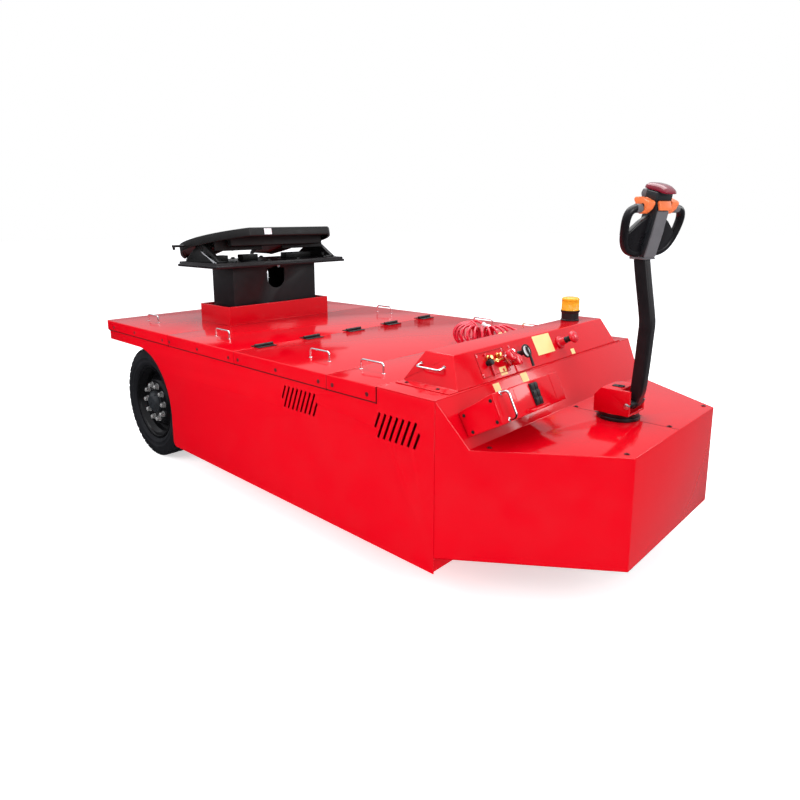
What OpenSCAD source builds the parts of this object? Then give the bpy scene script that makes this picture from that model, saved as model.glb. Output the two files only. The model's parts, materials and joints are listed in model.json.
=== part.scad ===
// Electric airport towing tractor steered by a tiller, with a lifting fifth-wheel coupling.
// The frame: +X to the tiller end, +Y to the left side, +Z up, origin on the ground
// below the centre of the body.

/* [Body] */
// Length of the body, rear lid edge to front face
body_len = 3486; // [3300:2:3700]
// Width over the flanges of the deck lids
body_w = 1700; // [1600:10:1800]
// Height of the deck's top above the ground
deck_z = 852; // [820:1:900]
// Height of the lower edge of the side skirts
skirt_z = 155; // [130:5:190]
// Height of the lower edge of the skirts behind the wheels
tail_z = 723; // [700:1:740]
// Thickness of the skirts' plate
skirt_t = 5; // [4:0.5:7]
// Thickness of the lids' sheet
sheet = 4; // [3:0.5:5]
// Depth of the lids' turned-down flanges
flange_h = 65; // [50:1:80]
// Seam between two lids, and between a flange and the skirt
seam = 1; // [0.8:0.1:2]
// How far the rear lid stands out behind the tail plate
tail_overhang = 23; // [15:1:30]
/* [Nose] */
// Length of the nose, deck end to front face
nose_len = 578; // [540:2:640]
// Width of the front face
nose_w = 850; // [760:10:940]
// Height of the nose's top
nose_z = 667; // [650:1:690]
// Height of the nose's lower edge
nose_low = 223; // [200:1:240]
// Length of the sloping panel between deck and nose top, seen from above
slope_run = 105; // [90:1:120]
/* [Deck] */
// Length of the fixed strip at the front of the deck
strip_len = 300; // [296:1:320]
// Length of the fourth lid, behind the strip
lid4_len = 303; // [280:1:320]
// Length of the third lid, the hinged battery cover
lid3_len = 728; // [700:1:760]
// Distance of the rear lid's front edge from the collar
lid_gap = 7; // [5:1:12]
// Number of hinges of the battery cover
hinge_n = 5; // [3:1:6]
// Distance between two hinges
hinge_pitch = 330; // [280:5:340]
// Radius of the hinge pins
hinge_r = 4; // [3:0.5:5]
// Length of the bow handles between their feet
bow_len = 140; // [120:1:150]
// Height of the bow handles
bow_h = 45; // [35:1:55]
// Radius of the bow handles' rod
bow_r = 5; // [4:0.5:7]
/* [Rear wheels] */
// Outer radius of the rear tyres
tyre_r = 355.5; // [345:0.5:365]
// Width of the rear tyres
tyre_w = 205; // [190:1:220]
// Distance from the lid's edge to the tyre's face
tyre_inset = 34; // [28:1:50]
// Distance of the rear axle from the body's rear end
axle_back = 506; // [495:1:520]
// Radius of the rim's flange
rim_r = 238; // [230:1:245]
// Radius of the wheel bolts' circle
bolt_circle_r = 112.5; // [105:0.5:120]
// Number of wheel nuts
nut_n = 10; // [8:2:12]
// Radius of the axle's stub shafts
stub_r = 30; // [25:1:40]
// Radius of the axle tube
axle_r = 45; // [40:1:55]
// Radius of the wheel arch in the skirt
arch_r = 386; // [380:1:400]
/* [Drive unit] */
// Radius of the front drive wheel
drive_r = 190; // [170:1:200]
// Width of the front drive wheel
drive_w = 120; // [100:1:140]
// Distance of the steering axis from the front face
steer_back = 253; // [245:1:270]
// Radius of the drive motor
motor_r = 90; // [80:1:100]
// Radius of the ring under the tiller's base
ring_r = 88; // [84:1:96]
/* [Tiller] */
// Height of the tiller's pivot
pivot_z = 742; // [735:1:760]
// Distance of the tiller's pivot in front of the steering axis
pivot_fwd = 66; // [60:1:75]
// Side of the tiller's square tube
arm_w = 52; // [44:1:60]
// Height of the bend in the tiller above its pivot
bend_up = 338; // [300:1:360]
// Height of the tiller head's foot above the pivot
head_up = 600; // [570:1:640]
// Width of the tiller head over both grips
head_w = 330; // [300:1:360]
/* [Coupling] */
// Distance of the coupling column's centre from the body's rear end
column_back = 683; // [670:1:700]
// Length of the column, along the tractor
column_l = 252; // [230:1:270]
// Width of the column, across the tractor
column_w = 686; // [640:1:720]
// Height of the column's foot
column_foot_z = 620; // [600:1:640]
// Height of the lower face of the coupling's base plate
base_z = 1222; // [1190:1:1260]
// Thickness of each of the two base plates
base_t = 16; // [12:1:20]
// Length of the base plates, along the tractor
base_l = 480; // [440:1:500]
// Width of the base plates, across the tractor
base_w = 1060; // [1050:1:1120]
// Length of the collar round the column
collar_l = 354; // [340:1:370]
// Width of the collar round the column
collar_w = 830; // [800:1:840]
// Height of the collar's top
collar_z = 970; // [940:1:990]
// Height of the coupling's trunnions above the base plates
trunnion_up = 101; // [96:1:115]
// How far the trunnions lie behind the column's centre
trunnion_back = 20; // [0:1:40]
// Angle by which the coupling plate leans back at rest
lean = 10.5; // [8:0.5:12]
// Radius of the coupling plate's round sides
plate_r = 520; // [500:1:530]
// Thickness of the coupling plate
plate_t = 16; // [12:1:20]
// Depth of the coupling plate's rim
rim_h = 54; // [48:1:60]
// Height of the coupling plate's top above the trunnions
plate_up = 58; // [56:1:64]
// Radius of the kingpin hole between the jaws
kingpin_r = 25.6; // [25.4:0.1:26]
// Radius of the trunnion pins
trunnion_r = 18; // [16:1:22]
/* [Console] */
// Height of the console above the deck
console_h = 128; // [110:1:150]
// Width of the console at its foot
console_w = 1390; // [1340:10:1430]
// How much narrower each end of the console is at its top
console_taper = 52; // [40:1:60]
// Width of the control box
control_w = 458; // [420:1:480]
// Radius of the beacon
beacon_r = 46; // [40:1:52]
/* [Air hose] */
// Radius of the hose
hose_r = 6; // [5:0.5:6.5]
// Radius of the coiled hose over its turns
coil_r = 55; // [52:1:58]
// Radius of the bend in which the coiled hose lies
coil_bend_r = 103; // [98:1:110]

/* [Hidden] */
$fn = 64;

// The gap between faces of different bodies, and the play of a shaft in its hole
rest_gap = 0.3;
play = 0.05;
eps = 0.5;

// Places along the tractor
x_nose = body_len / 2;
x_tail = -body_len / 2;
x_deck = x_nose - nose_len;
x_slope = x_deck + slope_run;
x_strip = x_deck - strip_len;
x_lid4 = x_strip - lid4_len;
x_lid3 = x_lid4 - lid3_len;
x_plate = x_tail + tail_overhang;
x_axle = x_tail + axle_back;
x_column = x_tail + column_back;
x_lid2 = x_column + collar_l / 2 + lid_gap;
x_steer = x_nose - steer_back;
x_pivot = x_steer + pivot_fwd;

// Places across and up
half_w = body_w / 2;
skirt_y = half_w - sheet - seam;
under_deck = deck_z - sheet;
wall_top = under_deck - rest_gap;
tyre_y = half_w - tyre_inset;
tyre_in = tyre_y - tyre_w;

// The frame's members
rail_w = 80;
rail_h = 140;
rail_y = collar_w / 2;
rail_low = 420;
rail_wall = 8;
well_y = tyre_in - 31;
bay_x = x_axle + tyre_r + 82;
floor_z = skirt_z + 60;
rail_back = 215;
member_w = 60;
member_tail = rail_back + 25;
member_axle = 160;
member_lift = 12;
cradle_z = 285;
cradle_t = 15;

// The arch's centre lies behind the wheel's
arch_x = x_axle - 49;
arch_z = tail_z - arch_r;

// Rear lift cylinder
barrel_r = 45;
ram_r = 30;
barrel_top = 900;
ram_foot = 560;
column_t = 12;

module box(x0, x1, y0, y1, z0, z1) {
  translate([x0, y0, z0]) cube([x1 - x0, y1 - y0, z1 - z0]);
}

// An outline in X and Z, drawn out from y0 to y1
module slab(points, y0, y1) {
  translate([0, y1, 0]) rotate([90, 0, 0]) linear_extrude(y1 - y0) polygon(points);
}

module both_sides() {
  children();
  mirror([0, 1, 0]) children();
}

// A cylinder along Y from y0 to y1
module cross_rod(x, z, r, y0, y1) {
  translate([x, y1, z]) rotate([90, 0, 0]) cylinder(r = r, h = y1 - y0);
}

// A cylinder along X from x0 to x1
module long_rod(y, z, r, x0, x1) {
  translate([x0, y, z]) rotate([0, 90, 0]) cylinder(r = r, h = x1 - x0);
}

// A rod bent to a bow: its feet stand on z = 0, its bar runs along X
module bow(length, height, r) {
  bend = 3 * r;
  for (side = [-1, 1]) {
    translate([side * length / 2, 0, 0]) cylinder(r = r, h = height - bend);
    translate([side * (length / 2 - bend), 0, height - bend]) rotate([90, 0, 0])
      rotate([0, 0, side > 0 ? 0 : 90]) rotate_extrude(angle = 90) translate([bend, 0]) circle(r = r);
  }
  translate([-length / 2 + bend, 0, height]) rotate([0, 90, 0]) cylinder(r = r, h = length - 2 * bend);
}

// A lid lies on the skirts, its flanges turned down outside them
module lid(x0, x1) {
  box(x0 + seam, x1 - seam, -half_w, half_w, under_deck, deck_z);
  both_sides() box(x0 + seam, x1 - seam, half_w - sheet, half_w, deck_z - flange_h, deck_z);
}

// Two rails with cross members, the walls between wheels and battery, and the floor
module frame() {
  bulkheads = [bay_x, x_lid3, x_lid4, x_deck - skirt_t];
  cross_x = [x_plate + member_tail, x_axle - member_axle, x_column + collar_l / 2 + member_lift];
  color("firebrick") {
    both_sides() difference() {
      box(x_plate + rail_back, x_deck - skirt_t, rail_y, rail_y + rail_w, rail_low, rail_low + rail_h);
      box(x_plate + rail_back - eps, x_deck, rail_y + rail_wall, rail_y + rail_w - rail_wall,
        rail_low + rail_wall, rail_low + rail_h - rail_wall);
    }
    for (x = bulkheads)
      difference() {
        box(x, x + skirt_t, -skirt_y + skirt_t, skirt_y - skirt_t, floor_z, wall_top);
        both_sides() box(x - eps, x + skirt_t + eps, rail_y + rail_wall, rail_y + rail_w - rail_wall,
          rail_low + rail_wall, rail_low + rail_h - rail_wall);
      }
    for (x = cross_x) box(x, x + member_w, -rail_y, rail_y, rail_low + 20, rail_low + rail_h - 20);
    box(bay_x, x_deck - skirt_t, -skirt_y + skirt_t, skirt_y - skirt_t, floor_z, floor_z + skirt_t);
    // walls inside the wheel bays, standing on the rails' outer faces
    both_sides() box(x_plate, bay_x, well_y, well_y + skirt_t, tail_z, wall_top);
    both_sides() box(x_plate + rail_back, bay_x, well_y, well_y + skirt_t, rail_low, tail_z);
    both_sides() for (x = [cross_x[0], cross_x[2]])
      box(x, x + member_w, rail_y + rail_w, well_y, rail_low + 20, rail_low + rail_h - 20);
    box(x_plate, x_plate + skirt_t, -skirt_y + skirt_t, skirt_y - skirt_t, tail_z, wall_top);
    // cradle below the column, hung between the rails
    box(x_column - 50, x_column + 160, -rail_y, rail_y, cradle_z, cradle_z + cradle_t);
    both_sides() box(x_column - 50, x_column + 160, rail_y, rail_y + 10, cradle_z, rail_low);
  }
}

// Tube with seats under the rails, end flanges and the stub shafts that carry the wheels
module rear_axle() {
  color("dimgray") {
    cross_rod(x_axle, tyre_r, axle_r, -tyre_in + 15, tyre_in - 15);
    both_sides() {
      box(x_axle - 50, x_axle + 50, rail_y, rail_y + rail_w, tyre_r, rail_low);
      cross_rod(x_axle, tyre_r, 80, tyre_in - 20, tyre_in - 6);
      cross_rod(x_axle, tyre_r, stub_r, tyre_in - 7, tyre_y - 75);
    }
  }
}

// Two vents: rear end, front end and number of slots, before the lids' edges
vent_gap = 58;
vent_len = [245, 226];
vents = [[x_lid4 - vent_gap - vent_len[0], x_lid4 - vent_gap, 9],
  [x_deck - vent_gap - vent_len[1], x_deck - vent_gap, 8]];
slot_w = 12;
slot_top = 746;
slot_h = 107;
slot_lean = 22;

// One side skirt, drawn in X and Z: the arch is open behind the wheel
module skirt_outline() {
  difference() {
    translate([x_plate, skirt_z]) square([x_deck - x_plate, wall_top - skirt_z]);
    translate([x_plate - eps, skirt_z - eps]) square([arch_x - x_plate + eps, tail_z - skirt_z + eps]);
    translate([arch_x, arch_z]) circle(r = arch_r, $fn = 96);
    translate([arch_x - eps, skirt_z - eps]) square([arch_r + eps, arch_z - skirt_z + eps]);
    translate([arch_x + arch_r, skirt_z]) rotate(45) square(32, center = true);
    for (vent = vents) let (pitch = (vent[1] - vent[0]) / (vent[2] - 1))
      for (i = [0 : vent[2] - 1]) {
        short = i == 0 ? 40 : i == vent[2] - 1 ? -40 : 0;
        h = (slot_h - abs(short)) / cos(slot_lean);
        z = slot_top - slot_h / 2 + short / 2;
        translate([vent[0] + i * pitch + short * 0.2 - 22, z]) rotate(-slot_lean)
          square([slot_w, h], center = true);
      }
  }
}

module skirt() {
  translate([0, -skirt_y + skirt_t, 0]) rotate([90, 0, 0]) linear_extrude(skirt_t) skirt_outline();
}

module skirt_right() { color("red") skirt(); }

module skirt_left() { color("red") mirror([0, 1, 0]) skirt(); }

// The nose seen from above, its sides drawn in by inset
module nose_plan(inset) {
  polygon([
    [x_deck, -skirt_y + inset], [x_nose - inset, -nose_w / 2 + inset * 0.7],
    [x_nose - inset, nose_w / 2 - inset * 0.7], [x_deck, skirt_y - inset]
  ]);
}

// The nose from the side: sloping panel, top and front face
function nose_side(inset, low) = [
  [x_deck, low], [x_nose - inset, low], [x_nose - inset, nose_z - inset],
  [x_slope - inset * 0.6, nose_z - inset], [x_deck, deck_z - inset * 2]
];

module nose_body(inset, low) {
  intersection() {
    slab(nose_side(inset, low), -half_w, half_w);
    translate([0, 0, low]) linear_extrude(deck_z - low) nose_plan(inset);
  }
}

carrier_z = 470;
carrier_t = 12;
shaft_r = 25;

// Folded shell, open below, with the shelf that carries the drive unit
module nose_housing() {
  color("red") {
    difference() {
      nose_body(0, nose_low);
      nose_body(skirt_t, nose_low - eps);
      translate([x_steer, 0, nose_z - 2 * skirt_t]) cylinder(r = shaft_r + 15, h = 3 * skirt_t);
    }
    difference() {
      intersection() {
        box(x_deck, x_nose, -half_w, half_w, carrier_z, carrier_z + carrier_t);
        nose_body(0, nose_low);
      }
      translate([x_steer, 0, carrier_z - eps]) cylinder(r = motor_r + 12, h = carrier_t + 2 * eps);
    }
  }
}

// The rear lid is cut out for the collar and has a flange behind as well
module deck_rear() {
  color("red") {
    difference() {
      lid(x_tail - seam, x_lid2);
      box(x_column - collar_l / 2 - seam, x_column + collar_l / 2 + seam, -collar_w / 2 - seam,
        collar_w / 2 + seam, under_deck - eps, deck_z + eps);
    }
    box(x_tail, x_tail + sheet, -half_w, half_w, deck_z - flange_h, deck_z);
  }
}

module deck_mid() { color("red") lid(x_lid2, x_lid3); }

// The fourth lid, and the strip that carries the console
module deck_front() {
  color("red") {
    lid(x_lid4, x_strip);
    box(x_strip + seam, x_deck, -skirt_y, skirt_y, under_deck, deck_z);
  }
}

collar_t = 10;
guide_low = 600;
guide_top = 820;

// A box round the column, from the rails to above the deck, with guide pads inside
module collar() {
  pad_x = (collar_l - column_l) / 2 - collar_t - rest_gap;
  pad_y = (collar_w - column_w) / 2 - collar_t - rest_gap;
  color("red") difference() {
    box(x_column - collar_l / 2, x_column + collar_l / 2, -collar_w / 2, collar_w / 2,
      rail_low + rail_h - 60, collar_z);
    box(x_column - collar_l / 2 + collar_t, x_column + collar_l / 2 - collar_t,
      -collar_w / 2 + collar_t, collar_w / 2 - collar_t, rail_low, collar_z + eps);
  }
  color("dimgray") for (side = [-1, 1]) {
    both_sides() translate([x_column + side * (column_l / 2 + rest_gap + pad_x / 2), column_w * 0.35, 0])
      translate([-pad_x / 2, -40, guide_low]) cube([pad_x, 80, guide_top - guide_low]);
    translate([x_column - 40, side * (column_w / 2 + rest_gap + pad_y / 2) - pad_y / 2, guide_low])
      cube([80, pad_y, guide_top - guide_low]);
  }
}

// The lift cylinder stands on the cradle, inside the column
module lift_barrel() {
  color("dimgray") translate([x_column, 0, cradle_z + cradle_t]) difference() {
    cylinder(r = barrel_r, h = barrel_top - cradle_z - cradle_t);
    translate([0, 0, 40]) cylinder(r = ram_r + play, h = barrel_top);
  }
}

battery_gap = 45;

module battery() {
  color("darkslategray")
    box(x_lid3 + battery_gap, x_lid4 - battery_gap, -rail_y + 10, rail_y - 10, floor_z + skirt_t,
      under_deck - 55);
}

// The console's cross-section: it stands on the strip, its front slopes
console_back = 296;
console_top_front = 74;
console_top_l = 142;
console_front = 8;
function console_side(inset, low) = [
  [x_deck - console_back + inset * 1.2, low], [x_deck - console_front - inset * 1.2, low],
  [x_deck - console_top_front - inset, deck_z + console_h - inset],
  [x_deck - console_top_front - console_top_l + inset, deck_z + console_h - inset]
];

module console_body(inset, low) {
  half = console_w / 2 - inset;
  intersection() {
    slab(console_side(inset, low), -half, half);
    rotate([90, 0, 90]) translate([0, 0, x_deck - console_back]) linear_extrude(console_back)
      polygon([[-half, low], [half, low], [half - console_taper, deck_z + console_h],
        [-half + console_taper, deck_z + console_h]]);
  }
}

module console() {
  foot = 55;
  color("red") {
    difference() {
      console_body(0, deck_z);
      console_body(sheet, deck_z - eps);
    }
    both_sides() box(x_deck - console_back + 10, x_deck - console_front, console_w / 2 - sheet,
      console_w / 2 + foot, deck_z, deck_z + sheet);
  }
}

// The control box stands out from the sloping panel
control_y = -750;
function on_slope(drop) = [x_deck + rest_gap + slope_run * drop / (deck_z - nose_z), deck_z - drop];
control_drop = [60, 146];
control_reach = [149, 151];
control_rise = [104, 85];
control_top = on_slope(control_drop[0]);
control_low = on_slope(control_drop[1]);
control_top_front = control_top + [control_reach[0], control_rise[0]];
control_low_front = control_low + [control_reach[1], control_rise[1]];
control_lean = atan((control_low_front[0] - control_top_front[0]) / (control_top_front[1] - control_low_front[1]));

module control_box() {
  color("red") slab([control_top, control_low, control_low_front, control_top_front], control_y,
    control_y + control_w);
}

// A point on the console's front: y across, z below the console's top
console_lean = atan((console_top_front - console_front) / console_h);
module on_console(y, down) {
  translate([x_deck - console_top_front + down * tan(console_lean), y, deck_z + console_h - down])
    rotate([0, 90 - console_lean, 0]) children();
}

// A point on the control box's front, down its slope from the upper edge
module on_control(y, down) {
  translate([control_top_front[0] + down * sin(control_lean), y, control_top_front[1] - down * cos(control_lean)])
    rotate([0, 90 - control_lean, 0]) children();
}

// Places on the console's front: Y, and the distance below its top
knob_at = [-452, 61];
valve_at = [-175, 55];
pipes_at = [[-440, 43], [-372, 43]];
couplings_at = [[-318, 58], [-268, 84]];
stop_at = [150, 58];

// Valve knob, hand valve and the rocker block of the control box
module console_fittings() {
  color("black") {
    on_console(knob_at[0], knob_at[1]) {
      cylinder(r = 7, h = 12);
      translate([0, 0, 12]) cylinder(r = 14, h = 16);
    }
    on_console(valve_at[0], valve_at[1]) {
      cylinder(r = 12, h = 35);
      translate([0, 0, 35]) cylinder(r = 31, h = 10);
      translate([8, -6, 45]) cube([62, 12, 8]);
    }
    on_control(-485, 48) translate([-38, -24, 0]) cube([76, 48, 9]);
  }
}

// Pipe fittings and the two hose couplings beside them
module air_couplings() {
  color("gold") for (place = pipes_at) on_console(place[0], place[1]) cylinder(r = 9, h = 26);
  color("crimson") for (place = couplings_at) on_console(place[0], place[1]) {
    cylinder(r = 11, h = 30);
    translate([0, 0, 30]) cylinder(r = 24, h = 22);
  }
}

// Emergency stop: bellows, stem and mushroom head
module stop_button() {
  color("red") on_console(stop_at[0], stop_at[1]) {
    cylinder(r = 26, h = 10);
    for (i = [0, 1]) translate([0, 0, 10 + i * 10]) rotate_extrude() polygon([[0, 0], [18, 0], [22, 5],
      [18, 10], [0, 10]]);
    translate([0, 0, 30]) cylinder(r = 9, h = 38);
    translate([0, 0, 68]) rotate_extrude() polygon([[0, 0], [22, 0], [30, 8], [30, 14], [20, 24], [0, 27]]);
  }
}

beacon_x = 165;
beacon_y = 475;
beacon_base_h = 54;
beacon_lens_h = 70;

module beacon_base() {
  color("black") translate([x_deck - beacon_x, beacon_y, deck_z + console_h]) {
    cylinder(r = beacon_r, h = beacon_base_h - 6);
    translate([0, 0, beacon_base_h - 6]) cylinder(r = beacon_r + 3, h = 6);
  }
}

module beacon_lens() {
  color("orange") translate([x_deck - beacon_x, beacon_y, deck_z + console_h + beacon_base_h])
    rotate_extrude() polygon([[0, 0], [beacon_r, 0], [beacon_r, beacon_lens_h - 16],
      [beacon_r - 6, beacon_lens_h - 5], [beacon_r - 18, beacon_lens_h], [0, beacon_lens_h]]);
}

handle_y = 672;

module deck_bow(x, y) {
  translate([x, y, deck_z]) bow(bow_len, bow_h, bow_r);
}

// Bow handles on the fixed lids, the control box and the console's ends
module bow_handles() {
  color("silver") {
    both_sides() {
      deck_bow(x_tail + 328, handle_y);
      deck_bow((x_lid2 + x_lid3) / 2 - 32, handle_y);
      deck_bow(x_lid4 + 106, handle_y);
      translate([x_deck - 160, -console_w / 2 + console_taper * 0.6, deck_z + console_h * 0.6])
        rotate([90 - 22, 0, 0]) bow(bow_len * 0.85, bow_h * 0.8, bow_r);
    }
    on_control(control_y + 55, 58) bow(bow_len * 0.72, bow_h * 0.8, bow_r);
    on_control(-515, 108) rotate([0, 0, 90]) bow(bow_len * 0.85, bow_h * 0.55, bow_r);
  }
}

// The hinges' pins lie just above the deck, in line with the seam
hinge_z = deck_z + hinge_r + 5;
hinge_w = 115;
leaf_l = 40;
knuckle_r = hinge_r + 4;
first_hinge = -(hinge_n - 1) / 2;

// Fixed leaves with the outer knuckles and the pins
module deck_hinges() {
  color("dimgray") for (i = [0 : hinge_n - 1]) {
    y = (first_hinge + i) * hinge_pitch;
    box(x_lid3 - leaf_l, x_lid3 - knuckle_r - 1, y - hinge_w / 2, y + hinge_w / 2, deck_z, deck_z + 4);
    for (side = [-1, 1]) {
      end = y + side * hinge_w / 2;
      inner = y + side * hinge_w / 6;
      box(x_lid3 - knuckle_r - 2, x_lid3, min(end, inner), max(end, inner), deck_z, deck_z + 4);
      cross_rod(x_lid3, hinge_z, knuckle_r, min(end, inner), max(end, inner));
    }
    cross_rod(x_lid3, hinge_z, hinge_r, y - hinge_w / 2, y + hinge_w / 2);
  }
}

module battery_lid() {
  color("red") lid(x_lid3, x_lid4);
}

// Moving leaves with the middle knuckle, and the cover's two bow handles
module lid_fittings() {
  color("dimgray") for (i = [0 : hinge_n - 1]) {
    y = (first_hinge + i) * hinge_pitch;
    knuckle = hinge_w / 6 - rest_gap;
    difference() {
      union() {
        box(x_lid3 + knuckle_r + 1, x_lid3 + leaf_l, y - hinge_w / 2, y + hinge_w / 2, deck_z, deck_z + 4);
        box(x_lid3, x_lid3 + leaf_l, y - knuckle, y + knuckle, deck_z + 1, deck_z + 4);
        cross_rod(x_lid3, hinge_z, knuckle_r, y - knuckle, y + knuckle);
      }
      cross_rod(x_lid3, hinge_z, hinge_r + play, y - hinge_w, y + hinge_w);
    }
  }
  color("silver") both_sides() deck_bow(x_lid4 - 251, handle_y);
}

ring_t = 14;
disc_t = 16;

// Fixed black ring on the nose, round the steering shaft
module steering_ring() {
  color("black") translate([x_steer, 0, nose_z]) difference() {
    cylinder(r = ring_r, h = ring_t);
    translate([0, 0, -eps]) cylinder(r = shaft_r + play, h = ring_t + 2 * eps);
  }
}

base_low = nose_z + ring_t + rest_gap;
base_top = 805;
base_back = 76;
base_half_y = 80;
base_wall = 16;
pin_r = 12;

// Red housing of the tiller's foot, open in front and above for the arm, on a black disc
module steering_base() {
  x0 = x_steer - base_back;
  x1 = x_pivot + 11;
  low = base_low + disc_t;
  pocket = x_pivot - arm_w / 2 - 8;
  color("red") difference() {
    slab([[x0, low], [x1, low], [x1, base_top], [x0 + 30, base_top], [x0, base_top - 36]],
      -base_half_y, base_half_y);
    box(pocket, x1 + eps, -base_half_y + base_wall, base_half_y - base_wall, low + 8, base_top + eps);
    cross_rod(x_pivot, pivot_z, pin_r + play, -base_half_y - eps, base_half_y + eps);
  }
  color("black") translate([x_steer, 0, base_low]) cylinder(r = ring_r - 6, h = disc_t);
}

drive_axle_r = 24;
gear_y0 = drive_w / 2 + 12;
gear_y1 = gear_y0 + 70;
hub_r = 40;

// Turntable, upright motor, gear case beside the wheel and the shaft up to the tiller's foot
module drive_unit() {
  color("dimgray") {
    translate([x_steer, 0, carrier_z - rest_gap - 26]) cylinder(r = motor_r + 50, h = 26);
    translate([x_steer, 0, carrier_z - 30]) cylinder(r = motor_r, h = nose_z - 45 - carrier_z + 30);
    translate([x_steer, 0, nose_z - 50]) cylinder(r = shaft_r, h = base_low - nose_z + 50);
    translate([0, gear_y1, 0]) rotate([90, 0, 0]) linear_extrude(gear_y1 - gear_y0) {
      translate([x_steer, drive_r]) circle(r = 85);
      translate([x_steer - 70, drive_r]) square([140, carrier_z - 20 - drive_r]);
    }
    cross_rod(x_steer, drive_r, drive_axle_r, -drive_w / 2 - 6, gear_y0 + 1);
  }
}

solid_t = 55;

// Solid tyre with rounded shoulders
module drive_tyre() {
  color([0.1, 0.1, 0.1]) translate([x_steer, drive_w / 2, drive_r]) rotate([90, 0, 0])
    rotate_extrude() polygon([[drive_r - solid_t, 0], [drive_r - 8, 0], [drive_r, 10], [drive_r, drive_w - 10],
      [drive_r - 8, drive_w], [drive_r - solid_t, drive_w]]);
}

module drive_hub() {
  color("gray") translate([x_steer, drive_w / 2, drive_r]) rotate([90, 0, 0]) difference() {
    union() {
      cylinder(r = hub_r + 15, h = drive_w);
      translate([0, 0, drive_w / 2 - 15]) cylinder(r = drive_r - solid_t - 5, h = 30);
      difference() {
        cylinder(r = drive_r - solid_t - rest_gap, h = drive_w);
        translate([0, 0, -eps]) cylinder(r = drive_r - solid_t - 12, h = drive_w + 2 * eps);
      }
    }
    translate([0, 0, -eps]) cylinder(r = drive_axle_r + play, h = drive_w + 2 * eps);
  }
}

// The tiller's bent tube, with the pin at its foot
bend_fwd = 28;
head_fwd = -10;

module tiller_arm() {
  a = arm_w / 2;
  color([0.12, 0.12, 0.13]) {
    cross_rod(x_pivot, pivot_z, 22, -a, a);
    cross_rod(x_pivot, pivot_z, pin_r + 5, -base_half_y + base_wall + 1, base_half_y - base_wall - 1);
    cross_rod(x_pivot, pivot_z, pin_r, -base_half_y - 4, base_half_y + 4);
    slab([[x_pivot - 20, pivot_z], [x_pivot + 20, pivot_z], [x_pivot + a + 22, pivot_z + 60],
      [x_pivot + bend_fwd + a + 2, pivot_z + bend_up], [x_pivot + head_fwd + a, pivot_z + head_up],
      [x_pivot + head_fwd - a, pivot_z + head_up], [x_pivot + bend_fwd - a, pivot_z + bend_up],
      [x_pivot - a, pivot_z + 50]], -a, a);
  }
}

head_lean = 15;
head_turn = -20;
body_half = 34;
housing_half = 44;
body_h = 236;
housing_h = 38;
belly_h = 29;

// Places in the head's own frame: its foot on the arm's top, leaning forward, turned to the right
module on_head() {
  translate([x_pivot + head_fwd, 0, pivot_z + head_up + rest_gap]) rotate([0, head_lean, head_turn])
    children();
}

// Waisted body, the housing at its top and the belly button over it
module tiller_head() {
  foot = tan(head_lean);
  lid_z = body_h + housing_h;
  color("dimgray") on_head() {
    slab([[-38, -38 * foot], [36, 36 * foot], [38, body_h - 31], [22, body_h], [-36, body_h],
      [-36, body_h - 46]], -body_half, body_half);
    slab([[-48, body_h], [22, body_h], [24, body_h + 9], [22, lid_z], [-54, lid_z], [-58, lid_z - 20]],
      -housing_half, housing_half);
  }
  color("darkred") on_head() slab([[-58, lid_z], [30, lid_z], [42, lid_z - 4], [50, lid_z + 2],
    [36, lid_z + belly_h - 11], [-5, lid_z + belly_h], [-40, lid_z + belly_h - 1], [-56, lid_z + belly_h - 13]],
    -body_half - 4, body_half + 4);
}

grip_r = 17;
grip_low = 28;
grip_high = 207;
top_bend = 40;
low_bend = 70;
switch_w = 40;

// A quarter bend of the grips' bar in Y and Z about the centre c
module grip_bend(c, r, from) {
  translate([0, c[0], c[1]]) rotate([90, 0, 90]) rotate([0, 0, from])
    rotate_extrude(angle = 90) translate([r, 0]) circle(r = grip_r);
}

// Two loops, each a bent bar with a web in its lower half
module tiller_grips() {
  reach = head_w / 2 - grip_r;
  corner = [reach - top_bend, grip_high - top_bend];
  elbow = [reach - low_bend, grip_low + low_bend];
  inner = body_half + rest_gap;
  bar_start = housing_half + switch_w + rest_gap;
  color([0.1, 0.1, 0.11]) on_head() both_sides() {
    translate([0, bar_start, grip_high]) rotate([-90, 0, 0]) cylinder(r = grip_r, h = corner[0] - bar_start);
    grip_bend(corner, top_bend, 0);
    translate([0, reach, elbow[1]]) cylinder(r = grip_r, h = corner[1] - elbow[1]);
    grip_bend(elbow, low_bend, -90);
    translate([0, inner, grip_low]) rotate([-90, 0, 0]) cylinder(r = grip_r, h = elbow[0] - inner);
    translate([-9, 0, 0]) rotate([90, 0, 90]) linear_extrude(18) polygon([
      [inner, grip_low], [elbow[0], grip_low], elbow + low_bend * [cos(55), -sin(55)],
      elbow + low_bend * [cos(15), -sin(15)], [reach, elbow[1] + 20], [inner, 152]
    ]);
  }
}

// Butterfly switches in line with the grips' upper bars and a wide push button in front
module tiller_switches() {
  color("orange") on_head() {
    both_sides() {
      slab([[-48, body_h - 4], [-40, body_h + 10], [24, body_h + 7], [30, body_h - 4], [12, body_h - 46],
        [-8, body_h - 52], [-22, body_h - 40]], housing_half + rest_gap, housing_half + switch_w);
      cross_rod(0, grip_high, 13, body_half + rest_gap, housing_half + 1);
    }
    slab([[38, body_h - 30], [45, body_h - 30], [31, body_h + 7], [24.5, body_h + 7], [24.5, body_h + 0.4],
      [22.4, body_h + 0.4]], -body_half + 1, body_half - 1);
  }
}

rim_seat = rim_r - 8;

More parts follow.
